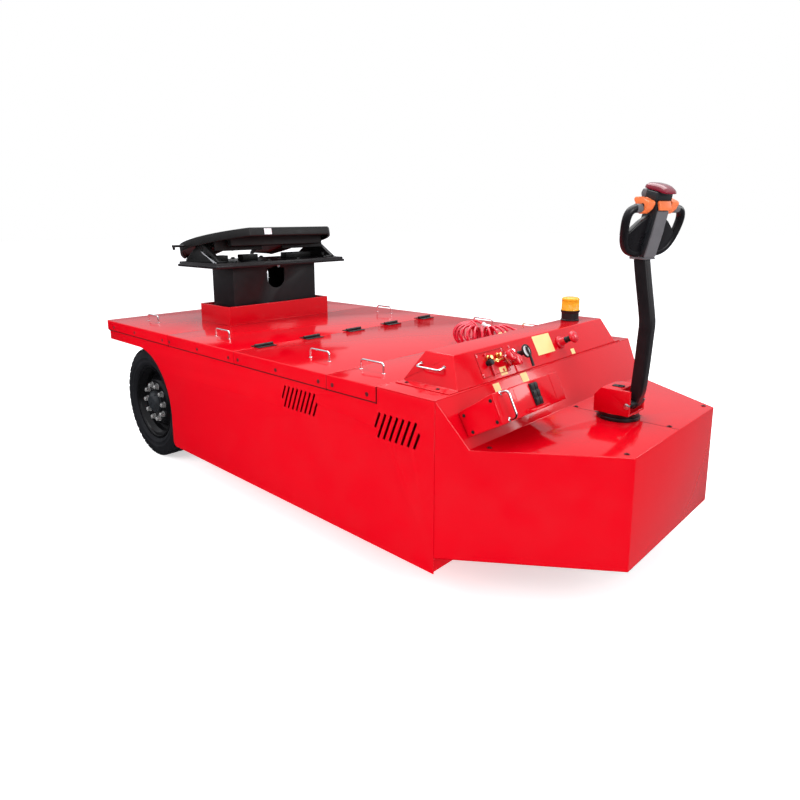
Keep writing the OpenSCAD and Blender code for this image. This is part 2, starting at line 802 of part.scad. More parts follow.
// Tyre profile from bead to tread, revolved; the lugs on its shoulders are cut
module tyre() {
  w = tyre_w;
  translate([x_axle, -tyre_in, tyre_r]) rotate([90, 0, 0]) difference() {
    rotate_extrude($fn = 96) difference() {
      polygon([
        [rim_seat + rest_gap, 24], [rim_r + 2, 24], [rim_r + 30, 2], [rim_r + 70, 0], [tyre_r - 22, 8], [tyre_r - 4, 26],
        [tyre_r, 50], [tyre_r, w - 50], [tyre_r - 4, w - 26], [tyre_r - 22, w - 8], [rim_r + 70, w],
        [rim_r + 30, w - 2], [rim_r + 2, w - 24], [rim_seat + rest_gap, w - 24]
      ]);
      for (v = [60, w / 2 - 4, w - 68]) translate([tyre_r - 10, v]) square([20, 8]);
    }
    for (i = [0 : 29]) rotate([0, 0, i * 12]) translate([tyre_r - 14, 0, 0]) rotate([0, 0, 20]) {
      translate([0, -5, -eps]) cube([40, 10, 34]);
      translate([0, -5, w - 34 + eps]) cube([40, 10, 34]);
    }
  }
}

// Steel wheel: rim, disc dished outwards, hub with nuts
module rim() {
  w = tyre_w;
  nut_face = w - 38;
  translate([x_axle, -tyre_in, tyre_r]) rotate([90, 0, 0]) {
    difference() {
      union() {
        rotate_extrude($fn = 96) polygon([
          [rim_r, 16], [rim_r, 22], [rim_seat, 24], [rim_seat - 6, 60], [rim_seat - 24, 80],
          [rim_seat - 24, 140], [rim_seat - 6, 165], [rim_seat, w - 24], [rim_r, w - 22], [rim_r, w - 16],
          [rim_seat - 6, w - 18], [rim_seat - 14, 165], [rim_seat - 32, 146], [rim_seat - 32, 74],
          [rim_seat - 14, 54], [rim_seat - 6, 18]
        ]);
        rotate_extrude($fn = 96) polygon([
          [55, nut_face - 12], [bolt_circle_r + 22, nut_face - 12], [bolt_circle_r + 56, nut_face - 66],
          [rim_seat - 28, nut_face - 66], [rim_seat - 28, nut_face - 54], [bolt_circle_r + 64, nut_face - 54],
          [bolt_circle_r + 32, nut_face], [55, nut_face]
        ]);
        cylinder(r = 78, h = nut_face - 2);
        translate([0, 0, nut_face - 4]) cylinder(r = 70, h = 22);
        translate([0, 0, nut_face + 16]) cylinder(r1 = 62, r2 = 46, h = 18);
        for (i = [0 : nut_n - 1]) rotate([0, 0, i * 360 / nut_n])
          translate([bolt_circle_r, 0, nut_face - 2]) cylinder(r = 15, h = 26, $fn = 6);
      }
      translate([0, 0, -eps]) cylinder(r = stub_r + play, h = w - 74);
    }
  }
}

module tyre_right() { color([0.09, 0.09, 0.09]) tyre(); }

module rim_right() { color([0.16, 0.16, 0.17]) rim(); }

module tyre_left() { color([0.09, 0.09, 0.09]) mirror([0, 1, 0]) tyre(); }

module rim_left() { color([0.16, 0.16, 0.17]) mirror([0, 1, 0]) rim(); }

hole_w = 146;
hole_low = 1063;

// The column is a welded box; its front wall has an upright slotted hole
module lift_column() {
  x0 = x_column - column_l / 2;
  x1 = x_column + column_l / 2;
  color([0.12, 0.1, 0.1]) difference() {
    box(x0, x1, -column_w / 2, column_w / 2, column_foot_z, base_z);
    box(x0 + column_t, x1 - column_t, -column_w / 2 + column_t, column_w / 2 - column_t,
      column_foot_z - eps, base_z - column_t);
    translate([x1 - column_t - eps, 0, hole_low + hole_w / 2]) rotate([0, 90, 0])
      cylinder(r = hole_w / 2, h = column_t + 2 * eps);
    box(x1 - column_t - eps, x1 + eps, -hole_w / 2, hole_w / 2, hole_low + hole_w / 2, base_z - 25);
  }
}

module lift_rod() {
  color("silver") translate([x_column, 0, ram_foot]) cylinder(r = ram_r, h = base_z - column_t - ram_foot);
}

base_hole_r = 11;
base_hole_x = base_l / 2 - 35;
base_hole_y = base_w / 2 - 34;

// Two plates bolted on each other, with four open fixing holes at the corners
module coupling_base() {
  color([0.13, 0.13, 0.14]) translate([x_column, 0, base_z]) difference() {
    union() {
      translate([-base_l / 2, -base_w / 2, 0]) cube([base_l, base_w, base_t]);
      translate([-base_l / 2 + 8, -base_w / 2 + 8, base_t]) cube([base_l - 16, base_w - 16, base_t]);
    }
    for (sx = [-1, 1], sy = [-1, 1]) translate([sx * base_hole_x, sy * base_hole_y, -eps])
      cylinder(r = base_hole_r, h = 2 * base_t + 2 * eps);
  }
}

x_trunnion = x_column - trunnion_back;
base_top_z = base_z + 2 * base_t;
z_trunnion = base_top_z + trunnion_up;
buffer_h = 38;
cheek_y = 450;
cheek_t = 30;
eye_r = 34;

// A bracket at each end, with the pin on which the coupling plate rocks
module coupling_pedestals() {
  color([0.1, 0.1, 0.11]) both_sides() {
    difference() {
      union() {
        cross_rod(x_trunnion, z_trunnion, eye_r, cheek_y, cheek_y + cheek_t);
        slab([[x_column - base_l / 2 + 20, base_top_z], [x_column + base_l / 2 - 60, base_top_z],
          [x_column + base_l / 2 - 60, base_top_z + 12], [x_trunnion + eye_r * 0.9, z_trunnion + 14],
          [x_trunnion - eye_r * 0.9, z_trunnion + 14], [x_column - base_l / 2 + 20, base_top_z + 12]],
          cheek_y, cheek_y + cheek_t);
      }
      cross_rod(x_column + 92, base_top_z + 26, 17, cheek_y - eps, cheek_y + cheek_t + eps);
    }
    box(x_column - base_l / 2 + 20, x_column + base_l / 2 - 60, cheek_y - 42, cheek_y + cheek_t,
      base_top_z, base_top_z + 12);
    cross_rod(x_trunnion, z_trunnion, trunnion_r, cheek_y - 45, cheek_y + 1);
  }
  // buffer blocks on the base under the plate
  color([0.1, 0.1, 0.11]) for (y = [[-390, -310], [-195, -75], [165, 390]])
    box(x_column - 40, x_column + 28, y[0], y[1], base_top_z, base_top_z + buffer_h);
}

// The coupling plate's own frame: origin at the trunnions, X forward along the plate
module on_plate() {
  translate([x_trunnion, 0, z_trunnion]) rotate([0, -lean, 0]) children();
}

plate_front = 340;
plate_rear = -430;
plate_centre = -70;
throat_r = 62;
throat_half = 120;
throat_mouth = 180;
lug_y = 412;
lug_t = 32;
web_h = 108;
beam_h = 92;

// The release rod passes through a hole in the right side's rim
release_x = -140;
release_y = 600;
release_in = 155;
release_z = 28;
release_r = 8;
release_hook = 24;

// The plate from above: round sides, straight front, throat open to the rear
module plate_plan(inset) {
  difference() {
    intersection() {
      translate([plate_centre, 0]) circle(r = plate_r - inset, $fn = 128);
      translate([plate_rear - 1, -plate_r]) square([plate_front - plate_rear + 1 - inset, 2 * plate_r]);
    }
    if (inset == 0) throat_plan(0);
  }
}

module throat_plan(grow) {
  circle(r = throat_r + grow);
  polygon([[20, -40 - grow], [20, 40 + grow], [-90, 55 + grow], [-200, throat_half + grow],
    [plate_rear - 10, throat_mouth + grow], [plate_rear - 10, -throat_mouth - grow],
    [-200, -throat_half - grow], [-90, -55 - grow]]);
}

// Side view of the plate: level top, ramps that fall to the rear
module plate_side(thick) {
  slab([[plate_front, plate_up], [-270, plate_up], [plate_rear, plate_up - 52],
    [plate_rear, plate_up - 52 - thick * 0.5], [-270, plate_up - thick], [plate_front, plate_up - thick]],
    -plate_r, plate_r);
}

module coupling_plate() {
  color([0.2, 0.2, 0.21]) on_plate() {
    intersection() {
      plate_side(plate_t);
      translate([0, 0, -100]) linear_extrude(300) plate_plan(0);
    }
    // rim round the plate and along the throat
    difference() {
      intersection() {
        plate_side(rim_h);
        translate([0, 0, -100]) linear_extrude(300) difference() {
          plate_plan(0);
          difference() {
            plate_plan(14);
            throat_plan(14);
          }
        }
      }
      cross_rod(release_x, release_z, release_r + 0.4, -plate_r - eps, -lug_y - lug_t);
    }
    // lugs that rock on the trunnion pins, and the webs between them
    both_sides() difference() {
      union() {
        cross_rod(0, 0, 32, lug_y, lug_y + lug_t);
        slab([[-60, plate_up - 4], [60, plate_up - 4], [30, 4], [-30, 4]], lug_y, lug_y + lug_t);
        box(-110, 110, lug_y, lug_y + 12, plate_up - rim_h, plate_up - 4);
      }
      cross_rod(0, 0, trunnion_r + play, lug_y - eps, lug_y + lug_t + eps);
    }
    both_sides() box(-110, -96, 84, lug_y + lug_t, plate_up - rim_h, plate_up - 4);
    both_sides() box(96, 110, 84, lug_y + lug_t, plate_up - web_h, plate_up - 4);
    box(150, 190, -lug_y + 40, lug_y - 40, plate_up - beam_h, plate_up - 4);
  }
}

jaw_low = -9;
jaw_top = 32;
jaw_shelf = plate_up - rim_h - rest_gap;

// Two jaws that close round the kingpin, carried between the throat's walls
module lock_jaws() {
  color("dimgray") on_plate() difference() {
    union() {
      translate([0, 0, jaw_low]) cylinder(r = throat_r - eps, h = jaw_top - jaw_low);
      box(-30, 95, -throat_r - 12, throat_r + 12, jaw_low, jaw_shelf);
    }
    translate([0, 0, jaw_low - eps]) cylinder(r = kingpin_r, h = jaw_top - jaw_low + 2 * eps);
    box(-throat_r, 0, -4, 4, jaw_low - eps, jaw_top + eps);
  }
}

// Rod that opens the jaws, in two guides below the plate, and the lever under the jaws
module release_handle() {
  lever_top = jaw_low - rest_gap;
  lever_t = 8;
  color([0.1, 0.1, 0.11]) on_plate() {
    cross_rod(release_x, release_z, release_r, -release_y, -release_in);
    translate([release_x, -release_y + release_r, release_z - release_hook])
      cylinder(r = release_r, h = release_hook);
    translate([release_x, -release_in, lever_top - lever_t])
      cylinder(r = release_r, h = release_z + lever_t - lever_top);
    translate([release_x, -release_in, lever_top - lever_t]) rotate([0, 0, atan2(release_in - 60, 20 - release_x)])
      translate([-12, -12, 0]) cube([210, 24, lever_t]);
    for (y = [-release_in - 40, -430]) box(release_x - 14, release_x + 14, y, y + 16, release_z - 14,
      plate_up - plate_t);
  }
}

// The coiled hose lies in a bend on the deck behind the console
coil_x = x_deck - 485;
coil_y = 150;
coil_from = 150;
coil_sweep = 225;
coil_z = deck_z + coil_r + rest_gap;
hose_path_r = coil_r - hose_r;
inlet_y = 200;
inlet_up = 88;
inlet_z = deck_z + inlet_up;
inlet_x = x_deck - console_back + (console_back - console_top_front - console_top_l) * inlet_up / console_h;

module hose_coil() {
  color("crimson") translate([coil_x, coil_y, coil_z]) rotate([0, 0, coil_from])
    rotate_extrude(angle = coil_sweep) translate([coil_bend_r, 0]) circle(r = coil_r);
}

// The top of the coil at the angle a, and the way in which the hose leaves its end face there
function coil_top(a) = [coil_x + coil_bend_r * cos(a), coil_y + coil_bend_r * sin(a), coil_z + hose_path_r];
function leaving(a, side) = side * [sin(a), -cos(a), 0];

// Route of the stretch from the coil's end to the console
near_top = coil_top(coil_from + coil_sweep);
inlet_route = [
  near_top, near_top + 12 * leaving(coil_from + coil_sweep, -1), near_top + [4, 21, -1], near_top + [21, 25, -4],
  [inlet_x - 96, inlet_y + 1, inlet_z + 6], [inlet_x - 68, inlet_y, inlet_z + 1],
  [inlet_x - 40 - rest_gap, inlet_y, inlet_z]
];

// Route of the free end, from the coil's other end to its coupling
far_top = coil_top(coil_from);
free_route = [
  far_top, far_top + 12 * leaving(coil_from, 1), far_top + [21, 5, -1], far_top + [42, -8, -2],
  far_top + [64, -15, -5], far_top + [76, -3, -14]
];

function unit(v) = v / norm(v);
function heading(p, i) = unit(p[min(i + 1, len(p) - 1)] - p[max(i - 1, 0)]);
function side_of(d) = unit(cross(d, abs(d[2]) > 0.9 ? [1, 0, 0] : [0, 0, 1]));

// A tube swept along a route, as rings of eight points
module hose_tube(route) {
  rings = len(route);
  points = [for (i = [0 : rings - 1]) let (d = heading(route, i), s = side_of(d), u = cross(s, d))
    for (a = [0 : 45 : 315]) route[i] + hose_r * (cos(a) * s + sin(a) * u)];
  walls = [for (i = [0 : rings - 2], k = [0 : 7]) let (n = (k + 1) % 8)
    [i * 8 + k, i * 8 + n, (i + 1) * 8 + n, (i + 1) * 8 + k]];
  polyhedron(points, concat([[for (k = [7 : -1 : 0]) k]], walls, [[for (k = [0 : 7]) (rings - 1) * 8 + k]]));
}

module hose_tails() {
  color("crimson") {
    hose_tube(inlet_route);
    hose_tube(free_route);
  }
}

// The inlet on the console, and the coupling at the hose's free end
module hose_fittings() {
  tip = free_route[len(free_route) - 1];
  d = heading(free_route, len(free_route) - 1);
  color("silver") {
    long_rod(inlet_y, inlet_z, hose_r + 4, inlet_x - 40, inlet_x - 8);
    long_rod(inlet_y, inlet_z, hose_r + 9, inlet_x - 26, inlet_x - 11);
  }
  color("whitesmoke") translate(tip) rotate([0, acos(d[2]), atan2(d[1], d[0])]) {
    translate([0, 0, rest_gap]) cylinder(r = hose_r + 3, h = 34);
    translate([0, 0, 33]) cylinder(r = hose_r + 7, h = 30);
  }
}

frame();
rear_axle();
skirt_right();
skirt_left();
nose_housing();
deck_rear();
deck_mid();
deck_front();
collar();
lift_barrel();
battery();
console();
control_box();
console_fittings();
air_couplings();
stop_button();
beacon_base();
beacon_lens();
bow_handles();
deck_hinges();
steering_ring();
hose_coil();
hose_tails();
hose_fittings();
battery_lid();
lid_fittings();
steering_base();
drive_unit();
drive_tyre();
drive_hub();
tiller_arm();
tiller_head();
tiller_grips();
tiller_switches();
tyre_left();
rim_left();
tyre_right();
rim_right();
lift_column();
lift_rod();
coupling_base();
coupling_pedestals();
coupling_plate();
lock_jaws();
release_handle();
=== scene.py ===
import json
import math

import bmesh
import bpy
from mathutils import Matrix, Vector

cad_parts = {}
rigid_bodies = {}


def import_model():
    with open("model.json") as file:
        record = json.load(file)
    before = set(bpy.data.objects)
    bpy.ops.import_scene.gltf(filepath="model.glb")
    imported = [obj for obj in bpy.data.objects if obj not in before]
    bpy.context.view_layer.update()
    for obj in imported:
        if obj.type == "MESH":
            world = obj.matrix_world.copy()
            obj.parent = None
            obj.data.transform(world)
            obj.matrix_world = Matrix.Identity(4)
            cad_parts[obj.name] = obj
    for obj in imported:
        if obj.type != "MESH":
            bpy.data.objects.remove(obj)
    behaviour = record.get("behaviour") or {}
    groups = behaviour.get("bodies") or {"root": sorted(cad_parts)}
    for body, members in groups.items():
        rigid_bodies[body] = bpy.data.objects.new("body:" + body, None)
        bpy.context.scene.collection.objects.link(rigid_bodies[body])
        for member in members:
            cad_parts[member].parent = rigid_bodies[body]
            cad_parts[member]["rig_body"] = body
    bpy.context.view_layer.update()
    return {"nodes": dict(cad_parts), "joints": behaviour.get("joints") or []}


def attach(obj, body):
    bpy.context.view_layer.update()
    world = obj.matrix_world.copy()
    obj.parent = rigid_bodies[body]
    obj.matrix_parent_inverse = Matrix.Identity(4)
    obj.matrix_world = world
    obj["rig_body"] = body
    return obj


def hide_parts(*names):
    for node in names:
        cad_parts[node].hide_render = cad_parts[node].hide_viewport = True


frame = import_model()
nodes = frame["nodes"]
scene = bpy.context.scene
rad = math.radians
print("frame loaded,", len(nodes), "nodes")

# the camera stands 1.5 m up, beside the right front corner
shot = {
    "place": (2.56667, -2.55825, 1.49931),
    "yaw": 134.8477,
    "pitch": -10.5133,
    "roll": -0.5178,
    "lens": 28.0269,
    "shift": (0.030568, -0.077999),
}


def addObject(name, data):
    obj = bpy.data.objects.new(name, data)
    scene.collection.objects.link(obj)
    return obj


def setCamera():
    yaw, pitch, roll = (rad(shot[k]) for k in ("yaw", "pitch", "roll"))
    ahead = Vector((math.cos(pitch) * math.cos(yaw), math.cos(pitch) * math.sin(yaw), math.sin(pitch)))
    right = ahead.cross(Vector((0, 0, 1))).normalized()
    up = right.cross(ahead)
    tiltedRight = right * math.cos(roll) + up * math.sin(roll)
    tiltedUp = up * math.cos(roll) - right * math.sin(roll)
    cam = bpy.data.cameras.new("camera")
    cam.lens, cam.sensor_width = shot["lens"], 36
    cam.shift_x, cam.shift_y = shot["shift"]
    cam.clip_start, cam.clip_end = 0.05, 100
    obj = addObject("camera", cam)
    obj.matrix_world = Matrix((tiltedRight, tiltedUp, -ahead)).transposed().to_4x4()
    obj.location = shot["place"]
    scene.camera = obj


setCamera()


# places


def move(x, y, z):
    return Matrix.Translation((x, y, z))


def spin(degrees, axis="Z"):
    return Matrix.Rotation(rad(degrees), 4, axis)


def spot(at, zTo=(0, 0, 1)):  # a place whose own Z looks along zTo
    z = Vector(zTo).normalized()
    x = Vector((1, 0, 0)) - z * z.x
    if x.length < 1e-4:
        x = z.orthogonal()
    x.normalize()
    return Matrix.Translation(at) @ Matrix((x, z.cross(x), z)).transposed().to_4x4()


# shapes that the pieces share


def circle(count):  # the angles of evenly spaced points
    return [2 * math.pi * k / count for k in range(count)]


def turned(bm, profile, at, steps=32):  # (radius, height) pairs spun round the place's Z
    rings = []
    for r, h in profile:
        angles = circle(steps) if r else [0]
        rings.append([bm.verts.new(at @ Vector((r * math.cos(a), r * math.sin(a), h))) for a in angles])
    for low, high in zip(rings, rings[1:]):
        for k in range(steps):
            n = (k + 1) % steps
            face = []
            for v in (low[k % len(low)], low[n % len(low)], high[n % len(high)], high[k % len(high)]):
                if v not in face:
                    face.append(v)
            if len(face) > 2:
                bm.faces.new(face)


def pin(bm, at, radius, half, chamfer, slant, steps=32):  # a round pin about the place, both ends chamfered
    inner = radius - chamfer
    turned(bm, [(0, -half), (inner, -half), (radius, slant - half), (radius, half - slant), (inner, half),
                (0, half)], at, steps)


def prism(bm, outline, depth, at, edge=0.0, steps=2):  # outline in the place's X and Y, drawn along Z
    part = bmesh.new()
    low = [part.verts.new((x, y, 0)) for x, y in outline]
    high = [part.verts.new((x, y, depth)) for x, y in outline]
    part.faces.new(low[::-1])
    part.faces.new(high)
    for k in range(len(low)):
        n = (k + 1) % len(low)
        part.faces.new((low[k], low[n], high[n], high[k]))
    if edge:
        bmesh.ops.bevel(part, geom=part.edges[:], offset=edge, segments=steps, affect="EDGES", profile=0.5,
                        clamp_overlap=True)
    bmesh.ops.transform(part, matrix=at, verts=part.verts)
    held = bpy.data.meshes.new("held")
    part.to_mesh(held)
    part.free()
    bm.from_mesh(held)
    bpy.data.meshes.remove(held)


def block(bm, size, at, edge=0.0, steps=2):  # a box centred on the place, standing on its Z
    x, y = size[0] / 2, size[1] / 2
    prism(bm, [(-x, -y), (x, -y), (x, y), (-x, y)], size[2], at, edge, steps)


def easedPath(points, perSpan=6):  # a smooth line through the points
    p = [Vector(q) for q in points]
    p = [2 * p[0] - p[1]] + p + [2 * p[-1] - p[-2]]
    line = []
    for i in range(1, len(p) - 2):
        for k in range(perSpan):
            t = k / perSpan
            line.append(0.5 * (2 * p[i] + (p[i + 1] - p[i - 1]) * t
                               + (2 * p[i - 1] - 5 * p[i] + 4 * p[i + 1] - p[i + 2]) * t * t
                               + (3 * p[i] - p[i - 1] - 3 * p[i + 1] + p[i + 2]) * t ** 3))
    return line + [p[-2]]


def skin(bm, rings):  # rings of the same number of points, joined in turn and closed at both ends
    made = [[bm.verts.new(p) for p in ring] for ring in rings]
    count = len(made[0])
    for low, high in zip(made, made[1:]):
        for k in range(count):
            n = (k + 1) % count
            bm.faces.new((low[k], low[n], high[n], high[k]))
    bm.faces.new(made[0][::-1])
    bm.faces.new(made[-1])


def rod(bm, path, radius, sides=14, flat=1.0):  # a round bar along a path, its ends closed
    path = [Vector(p) for p in path]
    rings, across = [], None
    for i, p in enumerate(path):
        ahead = (path[min(i + 1, len(path) - 1)] - path[max(i - 1, 0)]).normalized()
        across = ahead.orthogonal() if across is None else across - ahead * across.dot(ahead)
        across.normalize()
        other = ahead.cross(across) * flat
        r = radius[i] if isinstance(radius, list) else radius
        rings.append([p + r * (math.cos(a) * across + math.sin(a) * other) for a in circle(sides)])
    skin(bm, rings)


def bowPath(length, height, bend):  # a bow handle in X and Z, bar along X
    half, line = length / 2, []
    for side in (-1, 1):
        corner = [Vector((side * (half - bend + bend * math.cos(a)), 0, height - bend + bend * math.sin(a)))
                  for a in (rad(15 * k) for k in range(7))]
        leg = [Vector((side * half, 0, 0))] + corner
        line += leg if side < 0 else leg[::-1]
    return line


def piece(name, bm, finish, body, replaced="", smooth=38):
    bmesh.ops.recalc_face_normals(bm, faces=bm.faces[:])
    mesh = bpy.data.meshes.new(name)
    bm.to_mesh(mesh)
    bm.free()
    mesh.materials.append(finish)
    mesh.shade_smooth()
    mesh.set_sharp_from_angle(angle=rad(smooth))
    obj = addObject(name, mesh)
    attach(obj, body)
    if replaced:
        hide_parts(replaced)
    return obj


def rounded(node, name, finishes, radius=0.002, steps=2, choose=None, smooth=32):
    # a copy of a CAD node with its edges rounded, less where a wall is thin
    source = nodes[node]
    bm = bmesh.new()
    bm.from_mesh(source.data)
    bmesh.ops.remove_doubles(bm, verts=bm.verts[:], dist=2e-5)
    bmesh.ops.dissolve_limit(bm, angle_limit=rad(0.6), verts=bm.verts[:], edges=bm.edges[:])
    weight = bm.edges.layers.float.new("bevel_weight_edge")
    for e in bm.edges:
        if len(e.link_faces) == 2 and e.calc_face_angle(0) > rad(25):
            room = min(f.calc_area() / max(max(k.calc_length() for k in f.edges), 1e-6) for f in e.link_faces)
            e[weight] = max(0.0, min(1.0, 0.42 * min(room, e.calc_length()) / radius))
    mesh = bpy.data.meshes.new(name)
    bm.to_mesh(mesh)
    bm.free()
    obj = addObject(name, mesh)
    soften = obj.modifiers.new("rounded edges", "BEVEL")
    soften.width, soften.segments, soften.limit_method = radius, steps, "WEIGHT"
    soften.use_clamp_overlap, soften.miter_outer = False, "MITER_SHARP"
    bpy.context.view_layer.update()
    done = bpy.data.meshes.new_from_object(obj.evaluated_get(bpy.context.evaluated_depsgraph_get()))
    obj.modifiers.clear()
    obj.data = done
    bpy.data.meshes.remove(mesh)
    done.name = name
    done.materials.clear()
    for m in finishes:
        done.materials.append(m)
    for f in done.polygons:
        f.material_index = choose(f.center) if choose else 0
    done.shade_smooth()
    done.set_sharp_from_angle(angle=rad(smooth))
    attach(obj, source["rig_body"])
    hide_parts(node)


def corners(node):  # a CAD node's lowest and highest corner
    points = [nodes[node].matrix_world @ v.co for v in nodes[node].data.vertices]
    return [[round(end(p[i] for p in points), 4) for i in range(3)] for end in (min, max)]


def middle(node, axis):
    low, high = corners(node)
    return round((low[axis] + high[axis]) / 2, 4)


def jointPlace(name):  # a joint's X and Z
    place = next(j["pos_m"] for j in frame["joints"] if j["name"] == name)
    return round(place[0], 4), round(place[2], 4)


lids = [corners(node) for node in ("deck_rear", "deck_mid", "battery_lid", "deck_front")]

# the tractor's main lines as the CAD frame has them, in metres
plan = {
    "tail": lids[0][0][0], "halfWidth": lids[0][1][1], "deckTop": lids[0][1][2],
    "skirtFace": corners("skirt_left")[1][1],
    # the joints between the lids, and the last one just behind the console
    "lidEdges": (*(round((a[1][0] + b[0][0]) / 2, 4) for a, b in zip(lids, lids[1:])), 0.865),
    "noseTop": corners("steering_ring")[0][2], "steer": middle("steering_ring", 0),
    "axle": jointPlace("wheel_left_spin"), "wheelFace": corners("tyre_left")[1][1],
    "column": middle("lift_column", 0), "baseTop": corners("coupling_base")[1][2],
    "trunnion": jointPlace("coupling_rock"), "pivot": jointPlace("tiller_tilt"),
}

panels = {  # X and Z of a sloping panel's top edge, then how far it runs and drops
    "console": (1.091, 0.98, 0.066, 0.128),
    "control": (1.348354, 0.896, 0.050811, 0.105),
    "slope": (1.165, 0.852, 0.105, 0.185),  # between the deck and the nose
}
stance = {"head": (1.546, 0, 1.3423), "headTurn": -20, "headLean": 15,
          "plate": (-1.08, 0, 1.355), "plateLean": -10.5}


def leanOf(panel):
    x, z, run, drop = panels[panel]
    return math.atan(run / drop)


def onPanel(panel, y, along):  # X down the slope, Z out of it
    x, z = panels[panel][:2]
    lean = leanOf(panel)
    at = move(x + along * math.sin(lean), y, z - along * math.cos(lean))
    return at @ Matrix.Rotation(math.pi / 2 - lean, 4, "Y")


def onConsole(y, down):  # down is measured straight down here, and along the slope in the next two
    return onPanel("console", y, down / math.cos(leanOf("console")))


def onControl(y, down):
    return onPanel("control", y, down)


def onSlope(y, down):
    return onPanel("slope", y, down)


onHead = move(*stance["head"]) @ spin(stance["headTurn"]) @ spin(stance["headLean"], "Y")
onPlate = move(*stance["plate"]) @ spin(stance["plateLean"], "Y")


def upright(at, y0):  # X and Y of an outline become the tractor's X and Z, drawn along +Y from y0
    return at @ move(0, y0, 0) @ Matrix(((1, 0, 0, 0), (0, 0, 1, 0), (0, 1, 0, 0), (0, 0, 0, 1)))


# finishes


def newFinish(name, colour, rough, metal=0.0, coat=0.0, coatRough=0.04, ior=1.5, sheen=0.5):
    m = bpy.data.materials.new(name)
    m.use_nodes = True
    shader = m.node_tree.nodes["Principled BSDF"]
    shader.inputs["Base Color"].default_value = (*colour, 1)
    shader.inputs["Roughness"].default_value = rough
    shader.inputs["Metallic"].default_value = metal
    shader.inputs["IOR"].default_value = ior
    shader.inputs["Specular IOR Level"].default_value = sheen
    if coat:
        shader.inputs["Coat Weight"].default_value = coat
        shader.inputs["Coat Roughness"].default_value = coatRough
    return m


def grain(m, scale, detail=4.0):
    tree = m.node_tree
    coords = tree.nodes.new("ShaderNodeTexCoord")
    made = tree.nodes.new("ShaderNodeTexNoise")
    made.inputs["Scale"].default_value = scale
    made.inputs["Detail"].default_value = detail
    tree.links.new(coords.outputs["Object"], made.inputs["Vector"])
    return made.outputs[0]


def varyRough(m, source, low, high):
    made = m.node_tree.nodes.new("ShaderNodeMapRange")
    for key, value in (("From Min", 0.3), ("From Max", 0.7), ("To Min", low), ("To Max", high)):
        made.inputs[key].default_value = value
    m.node_tree.links.new(source, made.inputs["Value"])
    m.node_tree.links.new(made.outputs["Result"], m.node_tree.nodes["Principled BSDF"].inputs["Roughness"])


def varyColour(m, source, stops):  # stops: (place, colour) along the source's values
    ramp = m.node_tree.nodes.new("ShaderNodeValToRGB")
    band = ramp.color_ramp
    while len(band.elements) < len(stops):
        band.elements.new(0.5)
    for e, (at, colour) in zip(band.elements, stops):
        e.position, e.color = at, (*colour, 1)
    m.node_tree.links.new(source, ramp.inputs["Fac"])
    m.node_tree.links.new(ramp.outputs["Color"], m.node_tree.nodes["Principled BSDF"].inputs["Base Color"])


def addBump(m, source, strength, distance):
    made = m.node_tree.nodes.new("ShaderNodeBump")
    made.inputs["Strength"].default_value = strength
    made.inputs["Distance"].default_value = distance
    m.node_tree.links.new(source, made.inputs["Height"])
    m.node_tree.links.new(made.outputs["Normal"], m.node_tree.nodes["Principled BSDF"].inputs["Normal"])


def shade(colour, by):
    return tuple(c * by for c in colour)


def glossRed(name, colour, rough=0.13, coat=0.12):  # sprayed enamel: fine orange peel, faint dust
    m = newFinish(name, colour, rough, coat=coat, coatRough=0.03, ior=1.45, sheen=0.28)
    varyColour(m, grain(m, 2.4, 6), [(0.3, shade(colour, 0.97)), (0.7, colour)])
    varyRough(m, grain(m, 9, 8), rough * 0.8, rough * 1.4)
    addBump(m, grain(m, 260, 2), 0.03, 0.0005)
    return m


def satinBlack(name, level, rough, bumpScale, bumpStrength, tint=(1, 1, 1.04), metal=0.0, sheen=0.3):
    colour = shade(tint, level)
    m = newFinish(name, colour, rough, metal, sheen=sheen)
    pale = tuple(c * 1.4 + 0.001 for c in colour)
    varyColour(m, grain(m, 7, 7), [(0.3, shade(colour, 0.8)), (0.55, colour), (0.85, pale)])
    varyRough(m, grain(m, 22, 6), rough * 0.85, min(1, rough * 1.2))
    addBump(m, grain(m, bumpScale, 3), bumpStrength, 0.0008)
    return m


def brightMetal(name, colour, rough):
    m = newFinish(name, colour, rough, 1.0)
    varyColour(m, grain(m, 30, 5), [(0.3, shade(colour, 0.82)), (0.7, colour)])
    varyRough(m, grain(m, 90, 5), rough * 0.5, rough * 1.5)
    addBump(m, grain(m, 380, 2), 0.04, 0.0004)
    return m


def moulded(name, colour, rough, scale=650, strength=0.15, coat=0.0, sheen=0.4):
    m = newFinish(name, colour, rough, coat=coat, sheen=sheen)
    varyColour(m, grain(m, 12, 5), [(0.3, shade(colour, 0.88)), (0.7, colour)])
    varyRough(m, grain(m, 40, 4), rough * 0.85, min(1, rough * 1.2))
    addBump(m, grain(m, scale, 2), strength, 0.0005)
    return m


redBody = glossRed("red enamel", (0.54, 0.0006, 0.0068))
redFrame = glossRed("red enamel inside", (0.42, 0.004, 0.008), 0.38, 0.0)
greySteel = satinBlack("grey steel", 0.12, 0.42, 300, 0.1, metal=0.5)
# black enamel; its red tint is painted bounce light from the red body
blackSteelRedBounce = satinBlack("black enamel on steel with painted red bounce", 0.0055, 0.34, 300, 0.06, (1.15, 0.85, 1.05), sheen=0.35)
couplingIron = satinBlack("coupling iron", 0.009, 0.38, 160, 0.18, (1.0, 0.98, 1.0), metal=0.1)
castGrey = satinBlack("cast steel", 0.05, 0.5, 200, 0.3, metal=0.35)
hingeSteel = satinBlack("hinge steel", 0.03, 0.36, 300, 0.1, (1, 0.95, 0.93), metal=0.5)
dullScrew = satinBlack("painted screw", 0.09, 0.45, 300, 0.05, (1.0, 0.12, 0.16), metal=0.2)
# dark red of the seams, also used for the painted shadow under the lids' flanges
jointAndShadowDark = moulded("dark joint and painted shadow", (0.085, 0.001, 0.003), 0.6, sheen=0.15)
